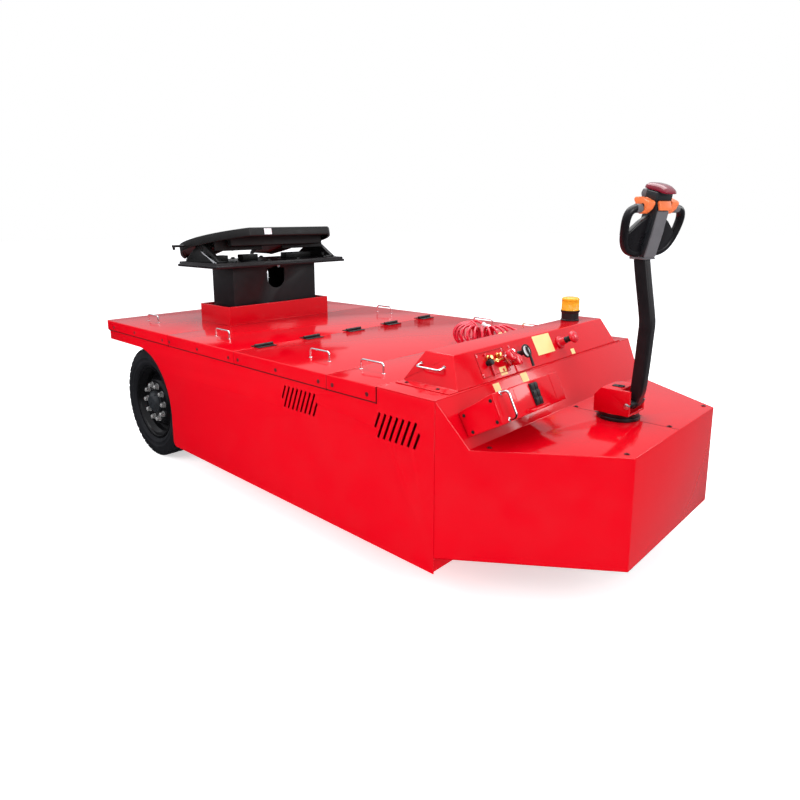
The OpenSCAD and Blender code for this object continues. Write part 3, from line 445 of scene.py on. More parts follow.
nutSteel = satinBlack("nut steel", 0.42, 0.25, 300, 0.05, (1, 0.99, 0.98), metal=0.6, sheen=0.6)
rimBlack = satinBlack("rim enamel", 0.004, 0.2, 300, 0.04, (1.0, 1.0, 1.15), sheen=0.22)
chrome = brightMetal("chrome", (0.86, 0.86, 0.88), 0.12)
zinc = brightMetal("zinc plated steel", (0.68, 0.67, 0.66), 0.3)
brass = brightMetal("brass", (0.72, 0.46, 0.16), 0.24)
batteryCase = moulded("battery case", (0.03, 0.045, 0.05), 0.5)
blackPlastic = moulded("black moulding", (0.008, 0.008, 0.009), 0.42)
gripPlastic = moulded("grip moulding", (0.006, 0.0055, 0.007), 0.3, 900, 0.08)
slatePlastic = moulded("slate moulding", (0.013, 0.015, 0.018), 0.4)
greyPlastic = moulded("grey moulding", (0.10, 0.097, 0.105), 0.45)
redPlastic = moulded("red button", (0.62, 0.006, 0.02), 0.22, 500, 0.05, 0.4)
orangePlastic = moulded("orange switch", (0.70, 0.15, 0.04), 0.36, 700, 0.08, 0.2)
coverRed = moulded("crimson cover", (0.16, 0.003, 0.016), 0.16, 500, 0.03, 0.8)
tyreRubber = satinBlack("tyre rubber", 0.0062, 0.62, 520, 0.2, (0.96, 1, 1.3), sheen=0.22)
solidRubber = satinBlack("solid tyre rubber", 0.012, 0.8, 400, 0.3)
whitePlastic = moulded("white coupling", (0.78, 0.79, 0.8), 0.3)
paper = moulded("yellow label", (0.80, 0.66, 0.27), 0.4, 200, 0.05)
whitePaper = moulded("white label", (0.8, 0.81, 0.84), 0.4, 200, 0.05)
print("finishes mixed,", len(bpy.data.materials))

# air hose: a coiled bundle bent on the deck behind the console

hose = {
    "diameter": 0.013,
    "bundle": (0.680, 0.150, 0.9120),  # centre of the bend, and its height
    "bendRadius": 0.103,
    "turnRadius": 0.0525,
    "from": 150, "sweep": 225,  # degrees in plan
    "turns": 15, "perTurn": 24,
    "inlet": [(0.8837, 0.200, 0.940), (0.862, 0.200, 0.941), (0.838, 0.198, 0.9465), (0.810, 0.1885, 0.9580)],
    "freeLength": 0.076,
    "freeHeading": (-25, 4),  # degrees in plan, at the coil and at the coupling
    "freeRise": (7, -27),
}


def hoseLine():
    cx, cy, cz = hose["bundle"]
    coil, steps = [], int(hose["turns"] * hose["perTurn"])
    for k in range(steps + 1):
        t = k / steps
        turn = rad(90 - 360 * hose["turns"] * t)
        a = rad(hose["from"] + hose["sweep"] * t)
        reach = hose["bendRadius"] + hose["turnRadius"] * math.cos(turn)
        up = hose["turnRadius"] * math.sin(turn)
        coil.append(Vector((cx + reach * math.cos(a), cy + reach * math.sin(a), cz + up)))
    free, p, steps = [], coil[0], 16
    (heading0, heading1), (rise0, rise1) = hose["freeHeading"], hose["freeRise"]
    for k in range(steps):
        t = (k + 0.5) / steps
        heading = rad(heading0 + t * (heading1 - heading0))
        rise = rad(rise0 + t * (rise1 - rise0))
        flat = math.cos(rise)
        p = p + hose["freeLength"] / steps * Vector((flat * math.cos(heading), flat * math.sin(heading),
                                                     math.sin(rise)))
        free.append(p)
    inlet = easedPath([Vector(q) for q in hose["inlet"]] + [coil[-1], coil[-4]], 5)[:-6]
    return inlet + coil[::-1] + free


def makeHose():
    line = hoseLine()
    tint = newFinish("red hose", (0.62, 0.004, 0.03), 0.24, coat=0.5, coatRough=0.1)
    varyColour(tint, grain(tint, 14, 5), [(0.3, (0.50, 0.002, 0.022)), (0.7, (0.70, 0.006, 0.036))])
    varyRough(tint, grain(tint, 60, 5), 0.22, 0.42)
    addBump(tint, grain(tint, 500, 2), 0.06, 0.0005)
    curve = bpy.data.curves.new("air hose", "CURVE")
    curve.dimensions, curve.bevel_depth, curve.bevel_resolution = "3D", hose["diameter"] / 2, 3
    curve.use_fill_caps = True
    lay = curve.splines.new("POLY")
    lay.points.add(len(line) - 1)
    for p, q in zip(lay.points, line):
        p.co = (*q, 1)
    curve.materials.append(tint)
    obj = addObject("airHose", curve)
    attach(obj, "chassis")
    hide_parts("hose_coil", "hose_tails")
    # white coupling on the free end, and the nipple on the console
    bm = bmesh.new()
    tip, before = line[-1], line[-3]
    at = spot(tip, tip - before) @ Matrix.Scale(1.3, 4)
    turned(bm, [(0, -0.012), (0.0082, -0.012), (0.0086, -0.010), (0.0086, 0.0), (0.0074, 0.002),
                (0.0074, 0.008), (0.0104, 0.0095), (0.0110, 0.012), (0.0110, 0.034), (0.0100, 0.036),
                (0.0100, 0.0375), (0.0126, 0.039), (0.0126, 0.056), (0.0117, 0.0585), (0.0096, 0.0585),
                (0.0092, 0.055), (0.0092, 0.04), (0, 0.04)], at, 28)
    for k in range(12):
        turnedBy = at @ spin(30 * k) @ move(0.0113, 0, 0.0135)
        block(bm, (0.002, 0.0026, 0.019), turnedBy, 0.0006, 1)
    fitting = piece("hoseCoupling", bm, whitePlastic, "chassis", "hose_fittings")
    bm = bmesh.new()
    nipple = spot(line[0] + Vector((-0.004, 0, 0)), (1, 0, 0))
    turned(bm, [(0, 0), (0.0090, 0), (0.0096, 0.001), (0.0096, 0.016), (0.0080, 0.017), (0.0080, 0.019)],
           nipple, 24)
    turned(bm, [(0.0080, 0.019), (0.0145, 0.019), (0.0148, 0.020), (0.0148, 0.031), (0.0145, 0.032),
                (0.010, 0.032), (0.010, 0.0385), (0, 0.0385)], nipple, 6)
    inlet = piece("hoseInlet", bm, brass, "chassis")


makeHose()


# sheet metal in red

shell = {"foldRadius": 0.0045, "foldSteps": 3, "plateRadius": 0.0018, "wellTop": 0.825,
         "wellHalf": (0.166, 0.404)}


def insideCollar(centre):  # the bottom of the column's well is bare steel
    halfX, halfY = shell["wellHalf"]
    inside = abs(centre.x - plan["column"]) < halfX and abs(centre.y) < halfY
    return 1 if inside and centre.z < shell["wellTop"] else 0


def makeShell():
    for node, name in (("nose_housing", "noseHousing"), ("deck_rear", "rearLid"), ("deck_mid", "secondLid"),
                       ("deck_front", "frontLid"), ("battery_lid", "batteryLid"), ("collar", "columnCollar"),
                       ("console", "consoleShell"), ("control_box", "controlBox")):
        rounded(node, name, [redBody, greySteel], shell["foldRadius"], shell["foldSteps"],
                insideCollar if node == "collar" else None)
    for node, name in (("skirt_right", "rightSkirt"), ("skirt_left", "leftSkirt")):
        rounded(node, name, [redBody], shell["plateRadius"])
    rounded("frame", "chassisFrame", [redFrame], 0.002)
    print("sheet metal painted")


makeShell()

frontPlate = {
    "x": 1.157, "thick": 0.004, "low": 0.1605, "high": 0.226, "half": 0.8405,
    "lip": 0.026,  # its folded lower edge, turned back under the floor
    "seamTop": 0.6664, "seam": ((1.300, 1.399), (1.581, 1.7405)),  # behind the turntable and in front of it
}


def makeFrontPlate():  # closes the body's front end where it reaches below the nose
    bm = bmesh.new()
    x, thick, low, lip = (frontPlate[k] for k in ("x", "thick", "low", "lip"))
    wide = 2 * frontPlate["half"]
    block(bm, (thick, wide, frontPlate["high"] - low), move(x + thick / 2, 0, low), 0.0012)
    block(bm, (lip, wide - 0.01, thick), move(x + 0.001 - lip / 2, 0, low), 0.0012)
    piece("frontClosingPlate", bm, redBody, "chassis")
    bm = bmesh.new()
    for start, end in frontPlate["seam"]:  # the seam along the middle of the nose top
        block(bm, (end - start, 0.0024, 0.0012), move((start + end) / 2, 0, frontPlate["seamTop"]), 0.0003, 1)
    piece("noseSeam", bm, jointAndShadowDark, "chassis")


makeFrontPlate()


def capScrew(bm, at, radius=0.006, height=0.0035):  # low round head with a hexagon socket
    r = radius
    rim = min(0.0008, height * 0.4)
    turned(bm, [(r * 1.5, 0), (r * 1.5, rim), (r, rim), (r, height * 0.75), (r * 0.82, height),
                (r * 0.52, height)], at, 18)
    turned(bm, [(r * 0.52, height), (r * 0.5, height * 0.35), (0, height * 0.35)], at, 6)


def hexBolt(bm, at, radius=0.012, height=0.009, washer=True):
    r = radius
    if washer:
        turned(bm, [(0, 0), (r * 1.5, 0), (r * 1.55, 0.0006), (r * 1.5, 0.0025), (r, 0.0025)], at, 24)
    turned(bm, [(r, 0.0022), (r, height * 0.86), (r * 0.9, height), (0, height)], at, 6)


screws = {
    "flange": (-1.640, -1.324, -0.945, -0.858, -0.536, -0.217, -0.129, 0.194, 0.508, 0.601, 0.814),
    "flangeHeight": 0.811,
    "noseTop": ((1.704, -0.41), (1.704, 0.41), (1.70, 0.012),
                (1.308, -0.695), (1.308, 0.695), (1.291, 0.012)),
    "consoleFoot": ((0.921, 0.727), (1.081, 0.724)),
    "tail": (-0.66, -0.22, 0.22, 0.66),
    "flush": (0.0066, 0.0003),  # head's radius and height in the flanges
}


def makeScrews():
    bm, lidBm = bmesh.new(), bmesh.new()
    for x in screws["flange"]:
        onLid = plan["lidEdges"][1] < x < plan["lidEdges"][2]
        for side in (-1, 1):
            at = spot((x, side * plan["halfWidth"], screws["flangeHeight"]), (0, side, 0))
            capScrew(lidBm if onLid else bm, at, *screws["flush"])
    for x, y in screws["noseTop"]:
        capScrew(bm, spot((x, y, plan["noseTop"])), 0.007, 0.004)
    for x, y in screws["consoleFoot"]:
        for side in (-1, 1):
            capScrew(bm, spot((x, side * y, plan["deckTop"] + 0.004)), 0.006, 0.004)
    for y in screws["tail"]:
        capScrew(bm, spot((plan["tail"], y, screws["flangeHeight"]), (-1, 0, 0)), *screws["flush"])
    piece("panelScrews", bm, dullScrew, "chassis")
    piece("lidScrews", lidBm, dullScrew, "battery_cover")


makeScrews()


gap = {"width": 0.0024, "low": 0.7802, "high": 0.8508, "under": 0.0062}  # dark joints of the lids' flanges, and under each flange a strip of painted shadow


def makeJointsAndFlangeShadows():
    bm = bmesh.new()
    ends = (plan["tail"] + 0.006,) + plan["lidEdges"]
    tall, under = gap["high"] - gap["low"], gap["under"]
    for side in (-1, 1):
        # a dark strip just under each flange: painted shadow
        for x0, x1 in zip(ends, ends[1:]):
            at = ((x0 + x1) / 2, side * (plan["skirtFace"] - 0.0016), gap["low"] + under / 2)
            block(bm, (x1 - x0 - 0.004, under, 0.0022), spot(at, (0, side, 0)), 0.0005, 1)
        for x in plan["lidEdges"]:
            at = (x, side * (plan["skirtFace"] - 0.0002), gap["low"] + tall / 2)
            block(bm, (gap["width"], tall, 0.0044), spot(at, (0, side, 0)), 0.0003, 1)
    piece("lidJointsAndFlangeShadows", bm, jointAndShadowDark, "chassis")


makeJointsAndFlangeShadows()

hinge = {"places": (-0.66, -0.33, 0.0, 0.33, 0.66), "width": 0.115, "leaf": 0.04, "pin": (-0.166, 0.861)}


def makeHinges():
    rounded("deck_hinges", "hingeLeaves", [hingeSteel], 0.0014)
    fixed, moving = bmesh.new(), bmesh.new()
    pinX, pinZ = hinge["pin"]
    top = plan["deckTop"]
    for y in hinge["places"]:
        x0, x1 = pinX + 0.009, pinX + hinge["leaf"]
        block(moving, (x1 - x0, hinge["width"], 0.004), move((x0 + x1) / 2, y, top), 0.0013)
        block(moving, (0.02, 0.0375, 0.003), move(x0 - 0.002, y, top + 0.001), 0.001)
        turned(moving, [(0.0041, 0), (0.0074, 0), (0.008, 0.0008), (0.008, 0.0368), (0.0074, 0.0376),
                        (0.0041, 0.0376), (0.0041, 0)], spot((pinX, y - 0.0188, pinZ), (0, 1, 0)), 24)
        for side, bm in ((-1, fixed), (1, moving)):
            for k in (-1, 0, 1):
                capScrew(bm, spot((pinX + side * 0.025, y + k * 0.04, top + 0.004)), 0.0042, 0.0014)
    piece("hingeScrews", fixed, hingeSteel, "chassis")
    piece("hingeMovingLeaves", moving, hingeSteel, "battery_cover", "lid_fittings")


makeHinges()

bow = {
    "length": 0.14, "height": 0.045, "radius": 0.005,
    "row": 0.672, "fixed": (-1.415, -0.553, 0.668), "onLid": 0.311,
    "consoleEnd": (1.005, 0.6638, 0.9288), "endLean": 100,
    "onControl": (-0.702, 0.058), "redAt": (-0.515, 0.108),  # across the box, down its front
    # length and height of the three other kinds
    "endSize": (0.119, 0.036), "controlSize": (0.1008, 0.036), "redSize": (0.119, 0.02475),
}


def addBow(bm, at, length=bow["length"], height=bow["height"]):
    r = bow["radius"]
    rod(bm, [at @ p for p in bowPath(length, height, 3 * r)], r, 18)
    for side in (-1, 1):
        foot = at @ move(side * length / 2, 0, 0)
        turned(bm, [(0, 0), (r * 1.9, 0), (r * 1.9, 0.0012), (r * 1.5, 0.0022), (r * 1.1, 0.0028),
                    (r * 0.9, 0.0028)], foot, 20)


def makeBows():
    bm, lidBm, redBm = bmesh.new(), bmesh.new(), bmesh.new()
    endX, endY, endZ = bow["consoleEnd"]
    for side in (-1, 1):
        for x in bow["fixed"]:
            addBow(bm, move(x, side * bow["row"], plan["deckTop"]))
        addBow(lidBm, move(bow["onLid"], side * bow["row"], plan["deckTop"]))
        addBow(bm, move(endX, side * endY, endZ) @ spin(-side * bow["endLean"], "X"), *bow["endSize"])
    addBow(bm, onControl(*bow["onControl"]), *bow["controlSize"])
    addBow(redBm, onControl(*bow["redAt"]) @ spin(90), *bow["redSize"])
    piece("bowHandles", bm, chrome, "chassis", "bow_handles")
    piece("lowHandle", redBm, redBody, "chassis")
    piece("lidHandles", lidBm, chrome, "battery_cover")


makeBows()
print("hinges and handles fitted")

# console: valves, couplings, stop button, labels and beacon

valvePanel = {
    "y": (-0.513, -0.315), "down": (0.016, 0.108),  # its edges across the console and down the slope
    "strip": 0.0035, "thick": 0.0022,
    "looseScrews": ((-0.265, 0.02), (-0.36, 0.1)),
}


def makeValvePanel():
    bm = bmesh.new()
    y0, y1 = valvePanel["y"]
    d0, d1 = valvePanel["down"]
    strip, thick = valvePanel["strip"], valvePanel["thick"]
    long = (d1 - d0) / math.cos(leanOf("console"))
    for y in (y0, y1):  # folded strips down both edges of the panel
        block(bm, (long, strip, thick), onConsole(y, (d0 + d1) / 2), 0.0008)
    for d in (d0, d1):
        block(bm, (strip, y1 - y0, thick), onConsole((y0 + y1) / 2, d), 0.0008)
    piece("valvePanelEdge", bm, redFrame, "chassis")
    bm = bmesh.new()
    for y in (y0 + 0.008, y1 - 0.008):
        for d in (d0 + 0.008, d1 - 0.008):
            capScrew(bm, onConsole(y, d), 0.0048, 0.003)
    for y, d in valvePanel["looseScrews"]:
        capScrew(bm, onConsole(y, d), 0.0045, 0.003)
    piece("valvePanelScrews", bm, redPlastic, "chassis")


knob = {"at": (-0.452, 0.061), "radius": 0.0128, "lobes": 6, "lobeDepth": 0.06, "deep": 0.016}
handWheel = {
    "at": (-0.208, 0.058),
    "rim": [(0.0265, 0.036), (0.0302, 0.037), (0.0310, 0.040), (0.0302, 0.0445), (0.0265, 0.0455),
            (0.0240, 0.043), (0.0240, 0.0385), (0.0265, 0.036)],
    "lever": [(0.004, 0, 0.047), (0.022, 0, 0.0495), (0.045, 0, 0.0485), (0.072, 0, 0.046)],
}
rockers = {"at": (-0.490, 0.055), "frame": (0.088, 0.052, 0.005), "key": (0.0245, 0.021, 0.0044), "lean": 7,
           "rows": 3, "pitch": 0.028, "halfGap": 0.0118}


def addKnob(bm):  # black knob with lobes
    at = onConsole(*knob["at"])
    turned(bm, [(0, 0), (0.011, 0), (0.011, 0.004), (0.007, 0.005), (0.007, 0.012)], at, 20)
    lobes = []
    for a in circle(24):
        r = knob["radius"] * (1 + knob["lobeDepth"] * math.cos(knob["lobes"] * a))
        lobes.append((r * math.cos(a), r * math.sin(a)))
    prism(bm, lobes, knob["deep"], at @ move(0, 0, 0.012), 0.0022)


def addHandWheel(bm):  # spindle, wheel rim and lever of the hand valve
    at = onConsole(*handWheel["at"])
    turned(bm, [(0, 0), (0.014, 0), (0.014, 0.003), (0.0115, 0.005), (0.0115, 0.035), (0, 0.035)], at, 24)
    turned(bm, handWheel["rim"], at, 44)
    lever = easedPath([at @ Vector(p) for p in handWheel["lever"]], 4)
    rod(bm, lever, [0.0052 + 0.0009 * (k > 6) for k in range(len(lever))], 12, flat=0.75)
    block(bm, (0.03, 0.012, 0.0065), at @ move(-0.004, 0, 0.0445), 0.002)


def addRockers(bm):  # rocker switches side by side in their frame
    at = onControl(*rockers["at"])
    block(bm, rockers["frame"], at, 0.0016)
    for k in range(rockers["rows"]):
        for side in (-1, 1):
            x = (k - 1) * rockers["pitch"]
            key = at @ move(x, side * rockers["halfGap"], 0.0042) @ spin(rockers["lean"], "Y")
            block(bm, rockers["key"], key, 0.001)


def makeControls():
    bm = bmesh.new()
    for add in (addKnob, addHandWheel, addRockers):
        add(bm)
    piece("controlKnobs", bm, blackPlastic, "chassis", "console_fittings")
    bm = bmesh.new()
    turned(bm, [(0, 0.0395), (0.0250, 0.0395), (0.0250, 0.0415), (0, 0.0415)], onConsole(*handWheel["at"]),
           32)
    piece("valveDial", bm, whitePlastic, "chassis")


airLine = {
    "elbows": (-0.44, -0.372), "elbowDown": 0.043,
    "link": (-0.405, 0.060),
    "claws": ((-0.328, 0.056, 20), (-0.292, 0.082, 200)),  # y, down the slope, turned by
    "cock": (-0.292, 0.044), "plug": (-0.235, 0.087),
    "slant": ((-0.345, 0.052, 0.022), (-0.318, 0.085, 0.014)),  # y, down, height of the slanting tube's ends
    "pipes": ((-0.437, 0.090, 0.05), (-0.455, 0.028, 0.01)),  # y, down, length
}


def makeCouplings():
    bm = bmesh.new()
    for y in airLine["elbows"]:  # brass elbows with hexagon feet
        at = onConsole(y, airLine["elbowDown"])
        turned(bm, [(0, 0), (0.0125, 0), (0.013, 0.001), (0.013, 0.008), (0.0125, 0.009), (0.008, 0.009)],
               at, 6)
        turned(bm, [(0.008, 0.009), (0.008, 0.014), (0.0092, 0.015), (0.0092, 0.022), (0.0085, 0.0255),
                    (0, 0.0258)], at, 20)
    link = onConsole(*airLine["link"])
    rod(bm, [link @ Vector((0, -0.038, 0.016)), link @ Vector((0, 0.044, 0.016))], 0.0052, 12)
    turned(bm, [(0, 0), (0.009, 0), (0.009, 0.014), (0.0075, 0.02), (0, 0.02)], link, 20)
    piece("brassFittings", bm, brass, "chassis")
    bm = bmesh.new()
    for y, down, turnedBy in airLine["claws"]:
        at = onConsole(y, down)
        turned(bm, [(0, 0), (0.0135, 0), (0.0135, 0.003), (0.011, 0.005), (0.011, 0.028), (0.015, 0.031),
                    (0.0228, 0.033), (0.0238, 0.036), (0.0238, 0.047), (0.0215, 0.0505), (0.014, 0.052),
                    (0, 0.052)], at, 32)
        block(bm, (0.013, 0.02, 0.012), at @ spin(turnedBy) @ move(0.0175, 0, 0.0395), 0.002)
        block(bm, (0.03, 0.009, 0.006), at @ spin(turnedBy) @ move(-0.004, 0, 0.0485), 0.0018)
    piece("redCouplings", bm, redPlastic, "chassis", "air_couplings")
    bm = bmesh.new()
    turned(bm, [(0, 0), (0.01, 0), (0.01, 0.01), (0.006, 0.012), (0.006, 0.02), (0.0105, 0.022),
                (0.0105, 0.034), (0.007, 0.037), (0, 0.037)], onConsole(*airLine["cock"]), 18)
    rod(bm, [onConsole(y, down) @ Vector((0, 0, up)) for y, down, up in airLine["slant"]], 0.0068, 14)
    turned(bm, [(0, 0), (0.008, 0), (0.008, 0.006), (0.005, 0.008), (0.005, 0.018), (0, 0.02)],
           onConsole(*airLine["plug"]), 16)
    piece("chromeFittings", bm, chrome, "chassis")
    bm = bmesh.new()
    for y, down, long in airLine["pipes"]:
        rod(bm, [onConsole(y, down) @ Vector((side * long / 2, 0, 0.006)) for side in (-1, 1)], 0.0042, 10)
    piece("redPipes", bm, redPlastic, "chassis")


stopButton = {
    "at": (0.15, 0.058),
    "collar": [(0, 0), (0.0285, 0), (0.030, 0.0015), (0.030, 0.006), (0.0275, 0.009), (0.0215, 0.0105),
               (0.0195, 0.018), (0.0170, 0.034), (0.0120, 0.036)],
    "cap": [(0.010, 0.066), (0.021, 0.068), (0.0282, 0.0735), (0.0300, 0.0790), (0.0290, 0.0840),
            (0.0240, 0.0900), (0.013, 0.0938), (0, 0.0946)],
    "bellows": [(0.0150, 0.0335), (0.0150, 0.041), (0.0120, 0.043), (0.0120, 0.049), (0.0145, 0.051),
                (0.0145, 0.059), (0.0115, 0.061), (0.0115, 0.0675), (0, 0.0675)],
}


def makeStopButton():
    at = onConsole(*stopButton["at"])
    bm = bmesh.new()
    turned(bm, stopButton["collar"], at, 36)
    turned(bm, stopButton["cap"], at, 36)
    piece("stopButton", bm, redPlastic, "chassis", "stop_button")
    bm = bmesh.new()
    turned(bm, stopButton["bellows"], at, 32)
    piece("stopButtonBellows", bm, blackPlastic, "chassis")


labels = {
    "console": ((0.0095, 0.046, 0.092, 0.149), (0.236, 0.110, 0.026, 0.034), (-0.364, 0.103, 0.036, 0.048)),
    "slope": ((-0.459, 0.0253, 0.034, 0.044), (-0.247, 0.0218, 0.040, 0.050)),  # y, down, tall, wide
    "deck": ((0.560, 0.525), (0.600, 0.640)), "deckSize": (0.035, 0.085),
    "plateAt": (0.3404, -0.185, 0.012), "plateSize": (0.056, 0.038),
}


def makeLabels():
    bm = bmesh.new()
    for place, rows in ((onConsole, labels["console"]), (onSlope, labels["slope"])):
        for y, down, tall, wide in rows:
            block(bm, (tall, wide, 0.0006), place(y, down) @ move(0, 0, 0.0001), 0.0002, 1)
    for x, y in labels["deck"]:
        block(bm, (*labels["deckSize"], 0.0006), move(x, y, plan["deckTop"] + 0.0001), 0.0002, 1)
    piece("blankLabels", bm, paper, "chassis")
    bm = bmesh.new()
    block(bm, (0.001, *labels["plateSize"]), onPlate @ move(*labels["plateAt"]), 0.0002, 1)
    piece("plateLabel", bm, whitePaper, "fifth_wheel")


beacon = {"at": (1.0, 0.475, 0.98), "radius": 0.046, "base": 0.054, "ribs": 40, "ribDepth": 0.0011,
          "amber": 0.3}


def makeBeacon():
    at = move(*beacon["at"])
    r, base = beacon["radius"], beacon["base"]
    bm = bmesh.new()
    turned(bm, [(0, 0), (r, 0), (r + 0.001, 0.001), (r + 0.001, 0.006), (r - 0.002, 0.008),
                (r - 0.002, 0.040), (r + 0.0005, 0.0425), (r + 0.003, 0.048), (r + 0.003, 0.0535),
                (r - 0.004, base), (0, base)], at, 48)
    for k in range(3):
        block(bm, (0.008, 0.012, 0.03), at @ spin(120 * k + 30) @ move(r - 0.006, 0, 0.008), 0.002)
    piece("beaconBase", bm, blackPlastic, "chassis", "beacon_base")
    glass = newFinish("amber glass", (1.0, 0.48, 0.02), 0.12, ior=1.49)
    glass.node_tree.nodes["Principled BSDF"].inputs["Transmission Weight"].default_value = beacon["amber"]
    varyColour(glass, grain(glass, 12, 2), [(0.3, (0.94, 0.42, 0.012)), (0.7, (0.96, 0.50, 0.03))])
    addBump(glass, grain(glass, 300, 2), 0.05, 0.0004)
    bm = bmesh.new()
    # radius, height, ribbed or not
    shape = [(r - 0.0006, 0.0002, 0), (r - 0.0006, 0.006, 0), (r - 0.0022, 0.008, 1),
             (r - 0.003, 0.045, 1), (r - 0.0035, 0.0525, 1), (r - 0.0012, 0.0540, 0),
             (r - 0.0012, 0.0590, 0), (r - 0.0035, 0.0640, 0), (r - 0.009, 0.0676, 0),
             (r - 0.018, 0.0694, 0), (r - 0.032, 0.0698, 0)]
    rings = []
    for radius, h, ribbed in shape:
        ring = []
        for k, a in enumerate(circle(beacon["ribs"] * 4)):
            reach = radius + ribbed * beacon["ribDepth"] * math.cos(math.pi * k / 2)
            ring.append(at @ Vector((reach * math.cos(a), reach * math.sin(a), base + h)))
        rings.append(ring)
    skin(bm, rings)
    piece("beaconLens", bm, glass, "chassis", "beacon_lens", 55)
    bm = bmesh.new()
    lamp = at @ move(0, 0, base)
    turned(bm, [(0, 0.001), (0.030, 0.001), (0.030, 0.005), (0.012, 0.008), (0.012, 0.016)], lamp, 24)
    turned(bm, [(0.012, 0.016), (0.016, 0.020), (0.017, 0.038), (0.012, 0.046), (0, 0.048)], lamp, 20)
    reflector = newFinish("beacon lamp", (1.0, 0.6, 0.12), 0.2)
    varyColour(reflector, grain(reflector, 60, 2), [(0.3, (0.95, 0.5, 0.06)), (0.7, (1.0, 0.75, 0.25))])
    piece("beaconLamp", bm, reflector, "chassis")


controlPlate = {
    "face": -0.7525, "thick": 0.0022,
    "outline": [(1.2120, 0.7905), (1.2560, 0.7135), (1.3925, 0.7905), (1.3480, 0.8860)],
    "screws": ((1.23, 0.788), (1.2725, 0.734), (1.345, 0.868), (1.377, 0.796)),
    "seams": (-0.358, -0.620),
}


def makeControlPlate():
    bm = bmesh.new()
    prism(bm, controlPlate["outline"], controlPlate["thick"], upright(Matrix(), controlPlate["face"]), 0.0008)
    piece("controlEndPlate", bm, redBody, "chassis")
    bm = bmesh.new()
    for x, z in controlPlate["screws"]:
        capScrew(bm, spot((x, controlPlate["face"] - 0.0001, z), (0, -1, 0)), 0.0046, 0.003)
    piece("controlEndScrews", bm, hingeSteel, "chassis")
    bm = bmesh.new()
    for y in controlPlate["seams"]:  # seams across the box's front
        block(bm, (0.112, 0.0022, 0.0007), onControl(y, 0.0525), 0.0003, 1)
    piece("controlSeams", bm, redBody, "chassis")


for make in (makeValvePanel, makeControls, makeCouplings, makeStopButton, makeLabels, makeBeacon,
             makeControlPlate):
    make()
print("console dressed")

# tiller: base, arm, head, grips and switches

arm = {
    "side": 0.052, "corner": 0.009,
    "stations": (  # X and Z from the pin, width
        (0.0, 0.0, 0.040), (0.006, 0.030, 0.046), (0.012, 0.060, 0.052),
        (0.020, 0.160, 0.053), (0.027, 0.290, 0.053), (0.029, 0.338, 0.053),
        (0.024, 0.385, 0.052), (0.002, 0.520, 0.052), (-0.010, 0.5995, 0.052)),
    "perStation": 4,
}


def cornered(halfX, halfY, corner, steps=4):  # outline of a square tube
    line = []
    for k, (sx, sy) in enumerate(((1, 1), (-1, 1), (-1, -1), (1, -1))):
        for i in range(steps + 1):
            a = rad(90 * k + 90 * i / steps)
            line.append((sx * (halfX - corner) + corner * math.cos(a),
                         sy * (halfY - corner) + corner * math.sin(a)))
    return line


def makeArm():
    bm = bmesh.new()
    px, pz = plan["pivot"]
    widths = [w for x, z, w in arm["stations"]]
    line = easedPath([Vector((px + x, 0, pz + z)) for x, z, w in arm["stations"]], arm["perStation"])
    rings = []
    for i, p in enumerate(line):
        ahead = (line[min(i + 1, len(line) - 1)] - line[max(i - 1, 0)]).normalized()
        if i == len(line) - 1:
            ahead = Vector((0, 0, 1))  # the top end is cut level for the head
        j, part = divmod(i, arm["perStation"])
        width = widths[j] + (widths[min(j + 1, len(widths) - 1)] - widths[j]) * part / arm["perStation"]
        side = Vector((0, 1, 0)).cross(ahead)
        tube = cornered(width / 2, arm["side"] / 2, arm["corner"])
        rings.append([p + side * a + Vector((0, b, 0)) for a, b in tube])
    skin(bm, rings)
    pivot = spot((px, 0, pz), (0, 1, 0))
    pin(bm, pivot, 0.022, 0.026, 0.003, 0.003)
    pin(bm, pivot, 0.017, 0.063, 0.001, 0.001)
    piece("tillerArm", bm, blackSteelRedBounce, "tiller", "tiller_arm", 45)
    bm = bmesh.new()
    pin(bm, pivot, 0.012, 0.0838, 0.0025, 0.0018, 28)
    piece("tillerPin", bm, zinc, "tiller")


tillerBase = {
    "blackBelow": 0.6971,  # the base's foot is black up to here
    "ringScrews": 8, "screwCircle": 0.0895, "ringTop": 0.681,
    "slotShade": (((0.044, 0.030, 0.0042), (1.4905, -0.016, 0.8045), 0.0015),  # size, place, edge
              ((0.026, 0.012, 0.0065), (1.5045, -0.016, 0.8060), 0.002)),
}


def makeTillerBase():
    rounded("steering_base", "tillerBase", [redBody, blackSteelRedBounce], 0.003, 3,
            lambda centre: 1 if centre.z < tillerBase["blackBelow"] else 0)
    rounded("steering_ring", "steeringRing", [blackSteelRedBounce], 0.003, 3)
    bm = bmesh.new()
    r = tillerBase["screwCircle"]
    for k in range(tillerBase["ringScrews"]):
        a = rad(45 * k + 22)
        at = (plan["steer"] + r * math.cos(a), r * math.sin(a), tillerBase["ringTop"])
        capScrew(bm, spot(at), 0.0036, 0.00025)
    piece("ringScrews", bm, hingeSteel, "chassis")
    bm = bmesh.new()
    for size, place, edge in tillerBase["slotShade"]:  # black flat slot in the top of the base, just behind the arm: painted shade of an opening, with the dark bracket seen in it
        block(bm, size, move(*place), edge)
    piece("baseSlotShade", bm, blackPlastic, "steer")


